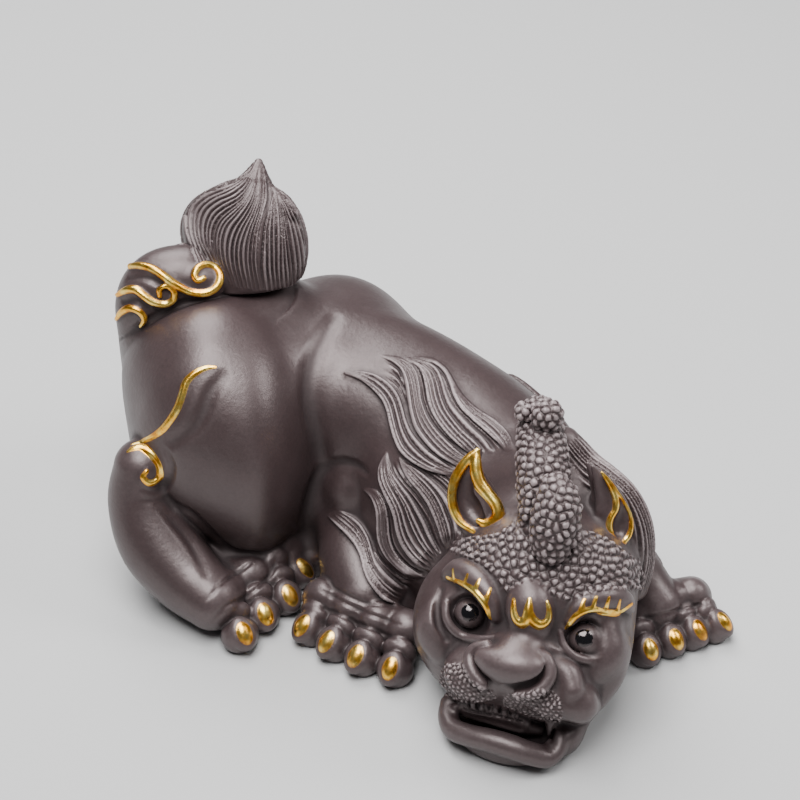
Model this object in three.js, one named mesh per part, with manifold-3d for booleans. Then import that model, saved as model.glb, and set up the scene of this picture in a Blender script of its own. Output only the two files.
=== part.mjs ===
// A crouching mythical lion with its chin on the ground, made as one closed
// solid.  Every mass is a rounded blob or a swept round tube given by named
// sizes; the masses are blended into one smooth field, the field's zero surface
// is walked cell by cell into triangles, the underside is cut flat, and the
// skin is thinned to the triangles that carry the form.
// Sizes are millimetres.  While the masses are placed, +X runs to the beast's
// left front, -Y to its right front and +Z is up; at the end the whole form is
// turned so that the length lies along Y with the head towards -Y.
import * as THREE from "three";
import { triTable } from "three/addons/objects/MarchingCubes.js";
import Module from "manifold-3d";

// ---------------------------------------------------------------- whole form
const LENGTH = 130; // along Y
const WIDTH = 93; // along X
const HEIGHT = 74; // along Z
const TURN = -56; // degrees about Z from the placing frame to the part's frame
const CELL = 0.85; // size of the cells that the surface is walked with
const TRIANGLES = 9400; // what the thinned skin keeps
const BELOW = 1.6; // how far the form goes on under the ground before it is cut

// ------------------------------------------------------------ small algebra
const rad = (d) => (d * Math.PI) / 180;
const add = (a, b, s = 1) => [a[0] + s * b[0], a[1] + s * b[1], a[2] + s * b[2]];
const sub = (a, b) => add(a, b, -1);
const dot = (a, b) => a[0] * b[0] + a[1] * b[1] + a[2] * b[2];
const cross = (a, b) => [
  a[1] * b[2] - a[2] * b[1],
  a[2] * b[0] - a[0] * b[2],
  a[0] * b[1] - a[1] * b[0],
];
const len = (a) => Math.hypot(a[0], a[1], a[2]);
const unit = (a) => add([0, 0, 0], a, 1 / len(a));
const mul = (A, B) =>
  A.map((r) => [0, 1, 2].map((j) => r[0] * B[0][j] + r[1] * B[1][j] + r[2] * B[2][j]));
const apply = (M, v) => M.map((r) => dot(r, v));
const transpose = (M) => [0, 1, 2].map((i) => M.map((r) => r[i]));
const ONE = [[1, 0, 0], [0, 1, 0], [0, 0, 1]];
function turn(rx = 0, ry = 0, rz = 0) {
  const [a, b, c] = [rad(rx), rad(ry), rad(rz)];
  const X = [[1, 0, 0], [0, Math.cos(a), -Math.sin(a)], [0, Math.sin(a), Math.cos(a)]];
  const Y = [[Math.cos(b), 0, Math.sin(b)], [0, 1, 0], [-Math.sin(b), 0, Math.cos(b)]];
  const Z = [[Math.cos(c), -Math.sin(c), 0], [Math.sin(c), Math.cos(c), 0], [0, 0, 1]];
  return mul(Z, mul(Y, X));
}
// A frame: origin o and axes R (columns).  A mirrored frame repeats on both
// sides of its own YZ plane.
function frame(o, R = ONE, mirror = false, parent = null) {
  if (parent) {
    o = add(parent.o, apply(parent.R, o));
    R = mul(parent.R, R);
  }
  return { o, R, mirror };
}
const WORLD = frame([0, 0, 0]);
const toWorld = (f, p) => add(f.o, apply(f.R, p));

// ------------------------------------------------------------------ the field
// Each mass is {kind, k, lo, hi, f}: kind "add" or "cut" blends it in or out
// over the width k, kind "raise" lifts the surface by f.
const masses = [];
const FAR = 30; // the field far from everything
function place(kind, k, at, lo, hi, local) {
  let c = [];
  for (const x of [lo[0], hi[0]])
    for (const y of [lo[1], hi[1]]) for (const z of [lo[2], hi[2]]) c.push([x, y, z]);
  if (at.mirror) c = c.concat(c.map((p) => [-p[0], p[1], p[2]]));
  const w = c.map((p) => toWorld(at, p));
  const L = [0, 1, 2].map((i) => Math.min(...w.map((p) => p[i])));
  const H = [0, 1, 2].map((i) => Math.max(...w.map((p) => p[i])));
  const [ox, oy, oz] = at.o,
    R = at.R,
    m = at.mirror;
  const f = (X, Y, Z) => {
    const a = X - ox,
      b = Y - oy,
      c2 = Z - oz;
    const x = a * R[0][0] + b * R[1][0] + c2 * R[2][0];
    return local(
      m ? Math.abs(x) : x,
      a * R[0][1] + b * R[1][1] + c2 * R[2][1],
      a * R[0][2] + b * R[1][2] + c2 * R[2][2],
    );
  };
  masses.push({ kind, k, lo: L, hi: H, f });
}
// an ellipsoid of half sizes r about c
function blob(c, r, { k = 3, rx = 0, ry = 0, rz = 0, axes, at = WORLD, cut = false } = {}) {
  const R = axes ?? turn(rx, ry, rz);
  const e = [0, 1, 2].map((i) => Math.abs(R[i][0]) * r[0] + Math.abs(R[i][1]) * r[1] + Math.abs(R[i][2]) * r[2]);
  const [a, b, d] = r.map((v) => 1 / v);
  place(cut ? "cut" : "add", k, at, sub(c, e), add(c, e), (x, y, z) => {
    const X = x - c[0],
      Y = y - c[1],
      Z = z - c[2];
    const u = (X * R[0][0] + Y * R[1][0] + Z * R[2][0]) * a,
      v = (X * R[0][1] + Y * R[1][1] + Z * R[2][1]) * b,
      w = (X * R[0][2] + Y * R[1][2] + Z * R[2][2]) * d;
    const k0 = Math.sqrt(u * u + v * v + w * w);
    const k1 = Math.sqrt(u * u * a * a + v * v * b * b + w * w * d * d) + 1e-9;
    return (k0 * (k0 - 1)) / k1;
  });
}
// a smooth curve through the points, as rows of any length
function smooth(rows, n) {
  const m = rows.length;
  const mix = (a, b, f) => a.map((v, i) => f(v, b[i]));
  const ext = [
    mix(rows[0], rows[1], (p, q) => 2 * p - q),
    ...rows,
    mix(rows[m - 1], rows[m - 2], (p, q) => 2 * p - q),
  ];
  const per = Math.max(1, Math.round(n / (m - 1)));
  const out = [];
  for (let i = 0; i < m - 1; i++)
    for (let j = 0; j < per; j++) {
      const t = j / per;
      out.push(
        rows[0].map((_, c) => {
          const [a, b, d, e] = [ext[i][c], ext[i + 1][c], ext[i + 2][c], ext[i + 3][c]];
          return 0.5 * (2 * b + (d - a) * t + (2 * a - 5 * b + 4 * d - e) * t * t + (3 * b - a - 3 * d + e) * t ** 3);
        }),
      );
    }
  out.push(rows[m - 1]);
  return out;
}
// a round tube through points, with a radius at each; flat = [direction, times]
// presses it thinner across that direction, foot cuts it off flat below
function tube(points, radii, { k = 3, n, flat, foot, at = WORLD, cut = false } = {}) {
  let rows = points.map((p, i) => [...p, radii[i]]);
  if (rows.length > 2) rows = smooth(rows, n ?? (rows.length - 1) * 6);
  rows.forEach((r) => (r[3] = Math.max(r[3], 0.02)));
  const lo = [0, 1, 2].map((i) => Math.min(...rows.map((r) => r[i] - r[3])));
  const hi = [0, 1, 2].map((i) => Math.max(...rows.map((r) => r[i] + r[3])));
  let M = ONE,
    fl = 1;
  if (flat) {
    const d = unit(flat[0]);
    fl = flat[1];
    M = ONE.map((r, i) => r.map((v, j) => v + (fl - 1) * d[i] * d[j]));
  }
  const q = rows.map((r) => [...apply(M, r.slice(0, 3)), r[3]]);
  const segs = q.slice(1).map((b, i) => {
    const a = q[i],
      d = sub(b, a);
    return [a[0], a[1], a[2], d[0], d[1], d[2], 1 / (dot(d, d) + 1e-12), a[3], b[3] - a[3]];
  });
  const g = 1 / Math.sqrt(fl);
  place(cut ? "cut" : "add", k, at, lo, hi, (x, y, z) => {
    const under = foot ? 0.98 * (foot.z + foot.rise[0] * (x - foot.at[0]) + foot.rise[1] * (y - foot.at[1]) - z) : -FAR;
    if (flat) [x, y, z] = apply(M, [x, y, z]);
    let best = 1e9;
    for (const s of segs) {
      const X = x - s[0],
        Y = y - s[1],
        Z = z - s[2];
      let t = (X * s[3] + Y * s[4] + Z * s[5]) * s[6];
      t = t < 0 ? 0 : t > 1 ? 1 : t;
      const A = X - t * s[3],
        B = Y - t * s[4],
        C = Z - t * s[5];
      const v = Math.sqrt(A * A + B * B + C * C) - (s[7] + t * s[8]);
      if (v < best) best = v;
    }
    return Math.max(best * g, under);
  });
}
// the same from rows [x, y, z, radius]
const run = (rows, how) => tube(rows.map((r) => r.slice(0, 3)), rows.map((r) => r[3]), how);
// a band raised along surface points C with outward normals N, half width w
// and height h at each point
function band(C, N, w, h, { edge = 4, reach = 3 } = {}) {
  const pad = Math.max(...w) + 0.5;
  const lo = [0, 1, 2].map((i) => Math.min(...C.map((p) => p[i])) - pad);
  const hi = [0, 1, 2].map((i) => Math.max(...C.map((p) => p[i])) + pad);
  const S = C.slice(1).map((b, i) => {
    const a = C[i],
      L = len(sub(b, a)),
      T = unit(sub(b, a));
    return { a, L, T, B: unit(cross(T, add(N[i], N[i + 1]))), w: [w[i], w[i + 1]], h: [h[i], h[i + 1]] };
  });
  place("raise", 0, WORLD, lo, hi, (x, y, z) => {
    let best = 1e9,
      U = 0,
      W = 1,
      H = 0;
    for (const s of S) {
      const D = [x - s.a[0], y - s.a[1], z - s.a[2]];
      const t = dot(D, s.T) / s.L,
        tc = Math.min(1, Math.max(0, t));
      const E = add(D, s.T, -tc * s.L),
        d = dot(E, E);
      if (d < best) {
        best = d;
        U = dot(E, s.B);
        W = s.w[0] + (s.w[1] - s.w[0]) * tc;
        const over = Math.abs(t - tc) * s.L;
        H = (s.h[0] + (s.h[1] - s.h[0]) * tc) * Math.max(0, 1 - (over / Math.max(W, 0.3)) ** 2);
      }
    }
    const u = Math.abs(U) / Math.max(W, 0.05);
    return u < 1 && best < (W + reach) ** 2 ? H * (1 - u ** edge) : 0;
  });
}
function field(x, y, z, list = masses, reach = 4) {
  let d = FAR;
  for (const m of list) {
    const p = m.k + reach;
    if (
      x < m.lo[0] - p || x > m.hi[0] + p || y < m.lo[1] - p ||
      y > m.hi[1] + p || z < m.lo[2] - p || z > m.hi[2] + p
    )
      continue;
    const v = m.f(x, y, z);
    if (m.kind === "raise") d -= v;
    else if (m.kind === "add") {
      const h = Math.max(m.k - Math.abs(d - v), 0) / m.k;
      d = Math.min(d, v) - h * h * m.k * 0.25;
    } else {
      const h = Math.max(m.k - Math.abs(-d - v), 0) / m.k;
      d = -(Math.min(-d, v) - h * h * m.k * 0.25);
    }
  }
  return d;
}
function slope(p, list, e = 0.25) {
  return [0, 1, 2].map((i) => {
    const a = [...p],
      b = [...p];
    a[i] += e;
    b[i] -= e;
    return (field(...a, list) - field(...b, list)) / (2 * e);
  });
}
// moves points to the surface along its slope
function drape(points, list) {
  return points.map((q) => {
    let p = [...q];
    for (let i = 0; i < 6; i++) {
      const d = Math.max(-2, Math.min(2, field(...p, list))),
        g = slope(p, list);
      p = add(p, g, -d / Math.max(dot(g, g), 0.2));
    }
    return { p, n: unit(slope(p, list)) };
  });
}
// moves points to the surface along the direction d
function cast(points, d, list, back = 12, far = 26) {
  d = unit(d);
  return points.map((q) => {
    const o = add(q, d, -back);
    let t = 0;
    for (let i = 0; i < 60; i++) {
      const v = field(...add(o, d, t), list);
      t = Math.min(t + Math.max(-1, Math.min(2.5, v * 0.7)), far);
    }
    const p = add(o, d, t);
    return { p, n: unit(slope(p, list)) };
  });
}

// ------------------------------------------------------------------- the body
function trunk() {
  run([[-36, -6, 27, 19.5], [-24, -6, 28.5, 20.5], [-8.5, -9, 27.5, 19.2], [6, -17, 25.3, 18.4], [17.5, -28, 23, 18], [25, -43, 20, 16]], { k: 0.1, n: 30 }); // back and neck
  blob([-18, -10, 12], [32, 20, 14], { k: 8, rz: -28 }); // belly
  blob([14, -34, 12], [22, 18, 15], { k: 8, rz: -50 }); // chest
  blob([-4, -19, 22], [15, 13, 20], { k: 5, rz: -20 }); // near flank
  blob([33, -43, 15], [8.5, 11, 16], { k: 6 }); // far shoulder
  blob([6, -33, 20], [13, 12, 17], { k: 6 }); // near shoulder
  run([[31.5, -44, 44.5, 2.7], [34.9, -46.5, 40.7, 3.1], [38.4, -49.5, 39, 3.6], [41.9, -52, 36.6, 3.6], [44.4, -53.5, 31.4, 3.6], [45.6, -54, 24.3, 3.2], [45.3, -54, 16.5, 3]], { k: 2.5 }); // mane that falls behind the far ear
  blob([33, -46, 27.5], [8.5, 10, 13], { k: 4 }); // neck
  blob([27, -44, 30], [10, 12, 14], { k: 5 }); // nape
}
function haunches() {
  blob([-37.2, -16.4, 28], [18, 23, 27], { k: 3 }); // near haunch
  blob([-29.6, -20, 25], [12, 22, 25], { k: 5 }); // its front
  blob([-26, -10, 36], [12, 14, 12], { k: 5 }); // its top
  blob([-43, -10, 36], [13, 15, 15], { k: 5 }); // rump
  blob([-12.5, 8, 23.5], [17, 15.5, 20], { k: 8, rz: -30 }); // far haunch
  run([[-51.3, -31.5, 28, 5.6], [-51.5, -33, 20.5, 7], [-48.5, -37.4, 13.5, 7.9], [-43, -42.6, 9, 7.2], [-37.2, -47.7, 7, 6]], { k: 1.1 }); // near hock and shank
  run([[-49.3, -35.6, 23.3, 1.5], [-45.3, -34.6, 18.8, 1.5], [-41.6, -34.9, 13.8, 1.3], [-39.3, -37.1, 9.3, 0.9]], { k: 1.3 }); // tendon along its front
  blob([-18.1, -28, 3], [6, 6, 8], { k: 2 }); // webs under the belly and behind the near forepaw
  blob([0.6, -43.4, 3], [6, 6, 7], { k: 2 });
  run([[-19, 15, 18, 9], [-9, 18, 9, 8], [0, 14, 6, 6.5]], { k: 5 }); // far shank
  blob([-11.7, -25.5, 10.9], [6.4, 8.2, 9.6], { k: 1.4 }); // near elbow
  blob([-9.8, -30.2, 19.3], [4.8, 4.8, 6.6], { k: 2 });
}

// ---------------------------------------------------------------------- paws
// Each paw has a row of toes.  A toe is set by the top of its knuckle and the
// tip of its nail, both [x, y], at the heights that the paw gives.
const PAWS = [
  { knuckles: [[-15.4, -48.9], [-9.6, -52], [-4.3, -55.2], [1.2, -58]], nails: [[-19.5, -52.8], [-14.5, -57.3], [-8.8, -61.5], [-2, -64.8]], heights: [8.6, 5], w: 3.75, nail: 1.14 },
  { knuckles: [[46.3, -52.4], [50.6, -50.4], [54.6, -49.2], [58.3, -48.3]], nails: [[49.1, -59.5], [54.4, -56.7], [59.3, -54.2], [64.5, -51.6]], heights: [8.4, 5], w: 3.35, nail: 1.06 },
  { knuckles: [[-34.8, -47.5], [-30.3, -42.3], [-26.5, -38.1], [-23, -34.5]], nails: [[-30.6, -55.5], [-26.7, -49.9], [-21.9, -44.5], [-19.2, -36.2]], heights: [9, 5.4], w: 3.85, nail: 1.14 },
];
const FAR_HIND = { at: [6, 10, 0], yaw: 40, pitch: 6.2, fan: 5, knuckle: [0, 6.5, 8.4], nail: [0, -1, 4.8] };
const SINK = [0, 2.52, -1.97]; // from the top of a knuckle to its middle
const columns = (x, y, z) => transpose([x, y, z]);
const neg = (a) => add([0, 0, 0], a, -1);
function toe(K, C, w) {
  const d = sub(C, K);
  d[2] = 0;
  const L = len(d),
    ahead = unit(d),
    up = [0, 0, 1],
    side = cross(neg(ahead), up);
  const n = unit(add(add([0, 0, 0], ahead, 0.7), up, 0.72));
  let b = cross(side, n);
  if (b[2] < 0) b = neg(b);
  const axes = columns(cross(n, b), n, b),
    flat = columns(side, neg(ahead), up);
  const knuckle = add(K, SINK),
    tip = add(C, n, -3.5);
  blob(knuckle, [w, 0.44 * L + 0.5, 3.9], { k: 0.55, axes: flat });
  blob(add(add(add([0, 0, 0], tip, 0.6), knuckle, 0.4), up, 0.2), [w * 0.95, 2.3, 3.6], { k: 0.4, axes: flat });
  blob(tip, [w, 3.4, 3.6], { k: 0.35, axes });
  return { C, n, axes };
}
function nail({ C, n, axes }, s) {
  blob(add(C, n, -1.2), [2.3 * s, 1.5, 3.1 * s], { k: 0.5, axes }); // the fold round it
  blob(add(C, n, 0.55), [1.85 * s, 1.15, 2.6 * s], { k: 0.25, axes, cut: true }); // its bed
  blob(add(C, n, -0.75), [1.45 * s, 1.35, 2.25 * s], { k: 0.12, axes });
}
function feet() {
  run([[-6.6, -24.6, 12, 8], [-8.6, -36.9, 9.5, 7.8], [-6.9, -46, 7, 6.6]], { k: 3 }); // near forearm
  run([[41, -42, 13, 8.5], [47, -45, 9, 6.5], [51, -48.5, 6.5, 5.2]], { k: 4 }); // far forearm
  const toes = [];
  for (const { knuckles, nails, heights, w, nail: s } of PAWS) {
    const K = knuckles.map((p) => [...p, heights[0]]),
      C = nails.map((p) => [...p, heights[1]]);
    tube(K.map((p) => add(p, [0, 3.47, -3.21])), K.map(() => 4.2), { k: 1.6, n: 9 }); // palm
    K.forEach((p, i) => toes.push([toe(p, C[i], w), s]));
  }
  blob([-34.2, -34.3, 4], [11, 8, 6.5], { k: 2.5, rz: -25 });
  toes.forEach(([t, s]) => nail(t, s));
  const foot = frame(FAR_HIND.at, turn(0, 0, FAR_HIND.yaw));
  for (let i = 0; i < 4; i++) {
    const t = i - 1.5,
      at = frame([t * FAR_HIND.pitch, 0, 0], turn(0, 0, t * FAR_HIND.fan), false, foot);
    nail(toe(toWorld(at, FAR_HIND.knuckle), toWorld(at, FAR_HIND.nail), 3.3), 0.92);
  }
  blob([3, 15, 4], [11, 6, 5.5], { k: 2, rz: 40 });
}

// ---------------------------------------------------------------------- tail
// The tuft's foot is a flat cut that rests on the back: height at a point and
// how it rises along x and y.
const FOOT = { z: 54.2, at: [-28, -9.7], rise: [0.05, -0.26] };
function tail() {
  run([[-51.9, -3.4, 30, 5.6], [-51, -6.8, 42, 6.2], [-50.6, -6.5, 50, 6.6], [-47.9, -6.6, 54.5, 6.7], [-43, -6, 56, 6.2], [-38.5, -5.6, 55.5, 4.6]], { k: 1.2 }); // root, folded forward over the rump
  blob([-29.2, -3, 43.4], [11.2, 12.5, 9.8], { k: 4 }); // where the tuft rests
  run([[-31.2, -3, 53, 9.6], [-31, -1.8, 56.4, 11.4], [-30.9, 0.8, 60, 11.9], [-29.7, 5, 66.5, 5.4], [-28.3, 9, 73, 0.9]], { k: 0.35, n: 24, flat: [[0, 0.93, -0.37], 1.5], foot: FOOT }); // flame tuft
  blob([-37.3, 4, 61], [6.4, 4.8, 7.2], { k: 3 });
  run([[-23.8, 16, 63, 1.8], [-23.8, -6, 80.2, 1.8]], { k: 0.5, cut: true }); // notch between its tips
  run([[-26.2, 5.5, 70.7, 0.5], [-25.9, 2.3, 70.7, 0.8], [-26, -0.9, 69.4, 0.6], [-26.6, -4.4, 66.5, 0.5], [-27, -7, 62.9, 0.3]], { k: 0.5, cut: true }); // where it parts
  run([[-21.9, 0.4, 66.4, 1.3], [-23.2, 1.6, 68.2, 1.2], [-24.4, 2.6, 69.3, 0.9], [-25.3, 4.2, 69.7, 0.5]], { k: 0.7 }); // its second tip
}
// grooves: front edge of the haunch, top of the elbow, beside the flame mark,
// round the hock curl, under the tail, between the scrolls, along the shank
const CREASES = [
  { k: 2.6, path: [[-13.1, -9, 48.5, 0.1], [-15.2, -14.6, 47.4, 0.5], [-17, -19.6, 45.1, 0.9], [-17.7, -23.3, 42, 1.1], [-17.5, -26.1, 37.8, 1.1], [-16.7, -28, 32.8, 1], [-15.9, -29, 28.4, 0.8], [-15.4, -29.5, 26, 0.4]] },
  { k: 1.8, path: [[-16, -29.4, 25, 0.3], [-17.3, -30.4, 21.4, 0.8], [-18.3, -31.7, 17, 1.2], [-18.8, -32, 11.4, 1.3], [-18.4, -33.4, 7.6, 1]] },
  { k: 1.2, path: [[-17.7, -30.9, 19.8, 0.3], [-16.7, -29.9, 22.9, 0.6], [-14.9, -29.4, 25.8, 0.8], [-11.7, -30.5, 28.1, 0.8], [-8.9, -32.1, 28.7, 0.7], [-7, -34.2, 28.7, 0.3]] },
  { k: 2, path: [[-34.3, -30.5, 49.9, 0.2], [-36.6, -32.9, 47.7, 0.8], [-38.2, -35.2, 44.5, 1.1], [-40.7, -36.6, 41.1, 1], [-44.9, -36.2, 37.5, 0.4]] },
  { k: 1, path: [[-46, -35.9, 35.6, 0.3], [-44.9, -37.3, 32.6, 0.7], [-45.9, -37, 28.2, 0.8], [-48, -37.3, 26.3, 0.7], [-50.6, -38, 27.4, 0.3]] },
  { k: 0.7, path: [[-57.2, -8.6, 42, 0.5], [-51.7, -13.4, 49, 0.8], [-46.5, -13.3, 52.6, 0.8], [-41.5, -12.6, 54.4, 0.8], [-36.6, -11, 54.5, 0.5]] },
  { k: 0.6, path: [[-54.2, -8.9, 57.4, 0.4], [-50, -11.2, 59.2, 0.7], [-47.2, -12.5, 58.4, 0.8], [-44.8, -13, 56.5, 0.6]] },
  { k: 0.6, path: [[-55.3, -10.7, 53, 0.4], [-52.2, -12.6, 54.8, 0.6], [-49.8, -13.5, 53.2, 0.7], [-47.5, -13.3, 52.1, 0.5]] },
  { k: 1.6, path: [[-47.4, -38.9, 23.5, 0.2], [-45.1, -39.3, 21.4, 0.7], [-42, -40.9, 18.2, 0.9], [-39.6, -44, 15.7, 0.8], [-38.2, -47.7, 14.2, 0.2]] },
  { k: 1.3, path: [[-49.8, -38.8, 25.2, 0.3], [-46.1, -37.2, 23.8, 0.7], [-41.7, -38.5, 21.3, 0.9], [-37.6, -38.2, 15.5, 0.9], [-33, -38.4, 11.2, 0.7], [-27.5, -38.5, 10.7, 0.4]] },
];
const creases = () => CREASES.forEach(({ k, path }) => run(path, { k, cut: true }));
// Three scrolls on the front of the tail, drawn in a tilted plane and laid on
// the tail: [start, first direction, spiral centre, radii, angles, thickness]
const KNOB = { c: [-39.6, -8.8, 56.6], r: [5, 3.6, 3.8] }; // under the first curl
const SCROLL_PLANE = { o: [-47.2, -7, 57], x: [1, 0, 0], y: [0, 0.616, 0.788] };
const SCROLLS = [
  [[-7.4, 2.9], [1, 0.6], [8.8, 1.4], [2.6, 1.2], [-100, 215], 1],
  [[-7.6, -1.4], [1, 0.5], [1.2, -2.1], [1.9, 0.8], [-110, 200], 0.95],
  [[-8, -6.6], [0.4, 1], [-5.2, -6.9], [1.9, 1.5], [110, -10], 0.85],
];
function scrollCurve([start, first, c, [r0, r1], [a0, a1]], n1 = 7, n2 = 12) {
  const spiral = [...Array(n2 + 1).keys()].map((i) => {
    const a = rad(a0 + ((a1 - a0) * i) / n2),
      r = r0 + ((r1 - r0) * i) / n2;
    return [c[0] + r * Math.cos(a), c[1] + r * Math.sin(a)];
  });
  const sg = a1 > a0 ? 1 : -1;
  const tan = [-Math.sin(rad(a0)) * sg, Math.cos(rad(a0)) * sg],
    p1 = spiral[0];
  const L = Math.hypot(p1[0] - start[0], p1[1] - start[1]),
    f = Math.hypot(...first);
  const lead = [...Array(n1).keys()].map((i) => {
    const t = i / n1;
    const [h0, h1, h2, h3] = [2 * t ** 3 - 3 * t * t + 1, t ** 3 - 2 * t * t + t, 3 * t * t - 2 * t ** 3, t ** 3 - t * t];
    return [0, 1].map((j) => h0 * start[j] + (h1 * L * first[j]) / f + h2 * p1[j] + h3 * L * tan[j]);
  });
  return [...lead, ...spiral];
}
function scrolls(list) {
  for (const s of SCROLLS) {
    const { o, x, y } = SCROLL_PLANE;
    const on = cast(scrollCurve(s).map(([u, v]) => add(add(o, x, u), y, v)), [0, 0.788, -0.616], list);
    const r = on.map((_, i) => 0.78 * s[5] * Math.min(1, 0.3 + (5.7 * i) / (on.length - 1)));
    tube(on.map(({ p, n }) => add(p, n, 0.25)), r, { k: 0.6, n: on.length - 1 });
  }
}

// ---------------------------------------------------------------------- head
const HEAD_AT = [26.5, -66, 19];
const HEAD_YAW = -18;
const HEAD = frame(HEAD_AT, turn(0, 0, HEAD_YAW));
const FACE = frame(HEAD_AT, turn(0, 0, HEAD_YAW), true); // both sides at once
// An ear is a flattened leaf, hollowed in front, with two raised rims; out is
// the direction that it faces.
const EARS = [
  {
    out: [-0.24, -0.8, 0.55],
    leaf: [[14.9, -49.7, 47.1, 0.6], [13, -51.9, 42.9, 2.7], [13.9, -54.7, 39.3, 4.5], [14.8, -57.2, 36, 3.9], [16.1, -59.4, 33.4, 3]],
    hollow: [[13.3, -53.6, 46.1, 0.5], [12.1, -54.8, 43.8, 1.4], [11.8, -56.4, 41.4, 1.9], [12.9, -58, 39.6, 2.2], [14.2, -59.3, 38.2, 1.6]],
    deep: 1,
    rims: [
      [[14.5, -51, 48, 0.5], [10.5, -53, 43.3, 1], [9.9, -56, 38.6, 0.9], [12.1, -58.5, 36, 0.7], [14, -59.5, 35.4, 0.5]],
      [[14.5, -51.1, 47.8, 0.5], [14.3, -53.4, 44.4, 1.3], [16.6, -56, 41.5, 1.1], [18.4, -58.4, 38.9, 1.1], [16, -59, 37, 0.9], [14.7, -58.5, 37.1, 0.6]],
    ],
  },
  {
    out: [0.32, -0.86, 0.39],
    leaf: [[35.9, -55.3, 47.5, 0.5], [38, -56.2, 43.6, 1.9], [39.5, -57.3, 39.8, 3], [40, -58.6, 36.5, 3.6], [39.1, -60.6, 32.8, 3]],
    hollow: [[41.3, -58.8, 42.2, 0.3], [41.9, -59.4, 40.3, 0.9], [41.6, -60.5, 38.3, 1.5], [41.4, -61.2, 36.7, 1.4]],
    deep: 0.6,
    rims: [
      [[37.6, -56.7, 47.1, 0.2], [40.7, -57.4, 42.9, 0.3], [43.1, -58.5, 38.5, 0.3], [42.9, -60.1, 34.9, 0.5], [41.9, -60.9, 34, 0.6]],
      [[37.4, -56.7, 47.4, 0.2], [39.5, -57.5, 43.7, 0.6], [40.2, -58.8, 40.2, 0.6], [39, -60.5, 37.5, 0.6], [40.5, -61.3, 34.3, 0.6], [41.9, -60.9, 34, 0.6]],
    ],
    back: [[35.1, -53.1, 46.5, 0.5], [37.2, -54, 42.7, 1.8], [38.7, -55.1, 38.9, 2.7], [39.2, -56.5, 35.5, 3.3], [38.3, -58.5, 31.8, 2.7]],
  },
];
function ear({ out, leaf, hollow, deep, rims, back }) {
  run(leaf, { k: 1.2, flat: [out, 1.9] });
  if (back) run(back, { k: 1.5, flat: [out, 1.2] });
  for (const depth of [0, deep]) run(hollow.map(([x, y, z, r]) => [...add([x, y, z], out, -depth), r]), { k: 0.4, cut: true });
  for (const r of rims) run(r, { k: 0.25 });
}
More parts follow.
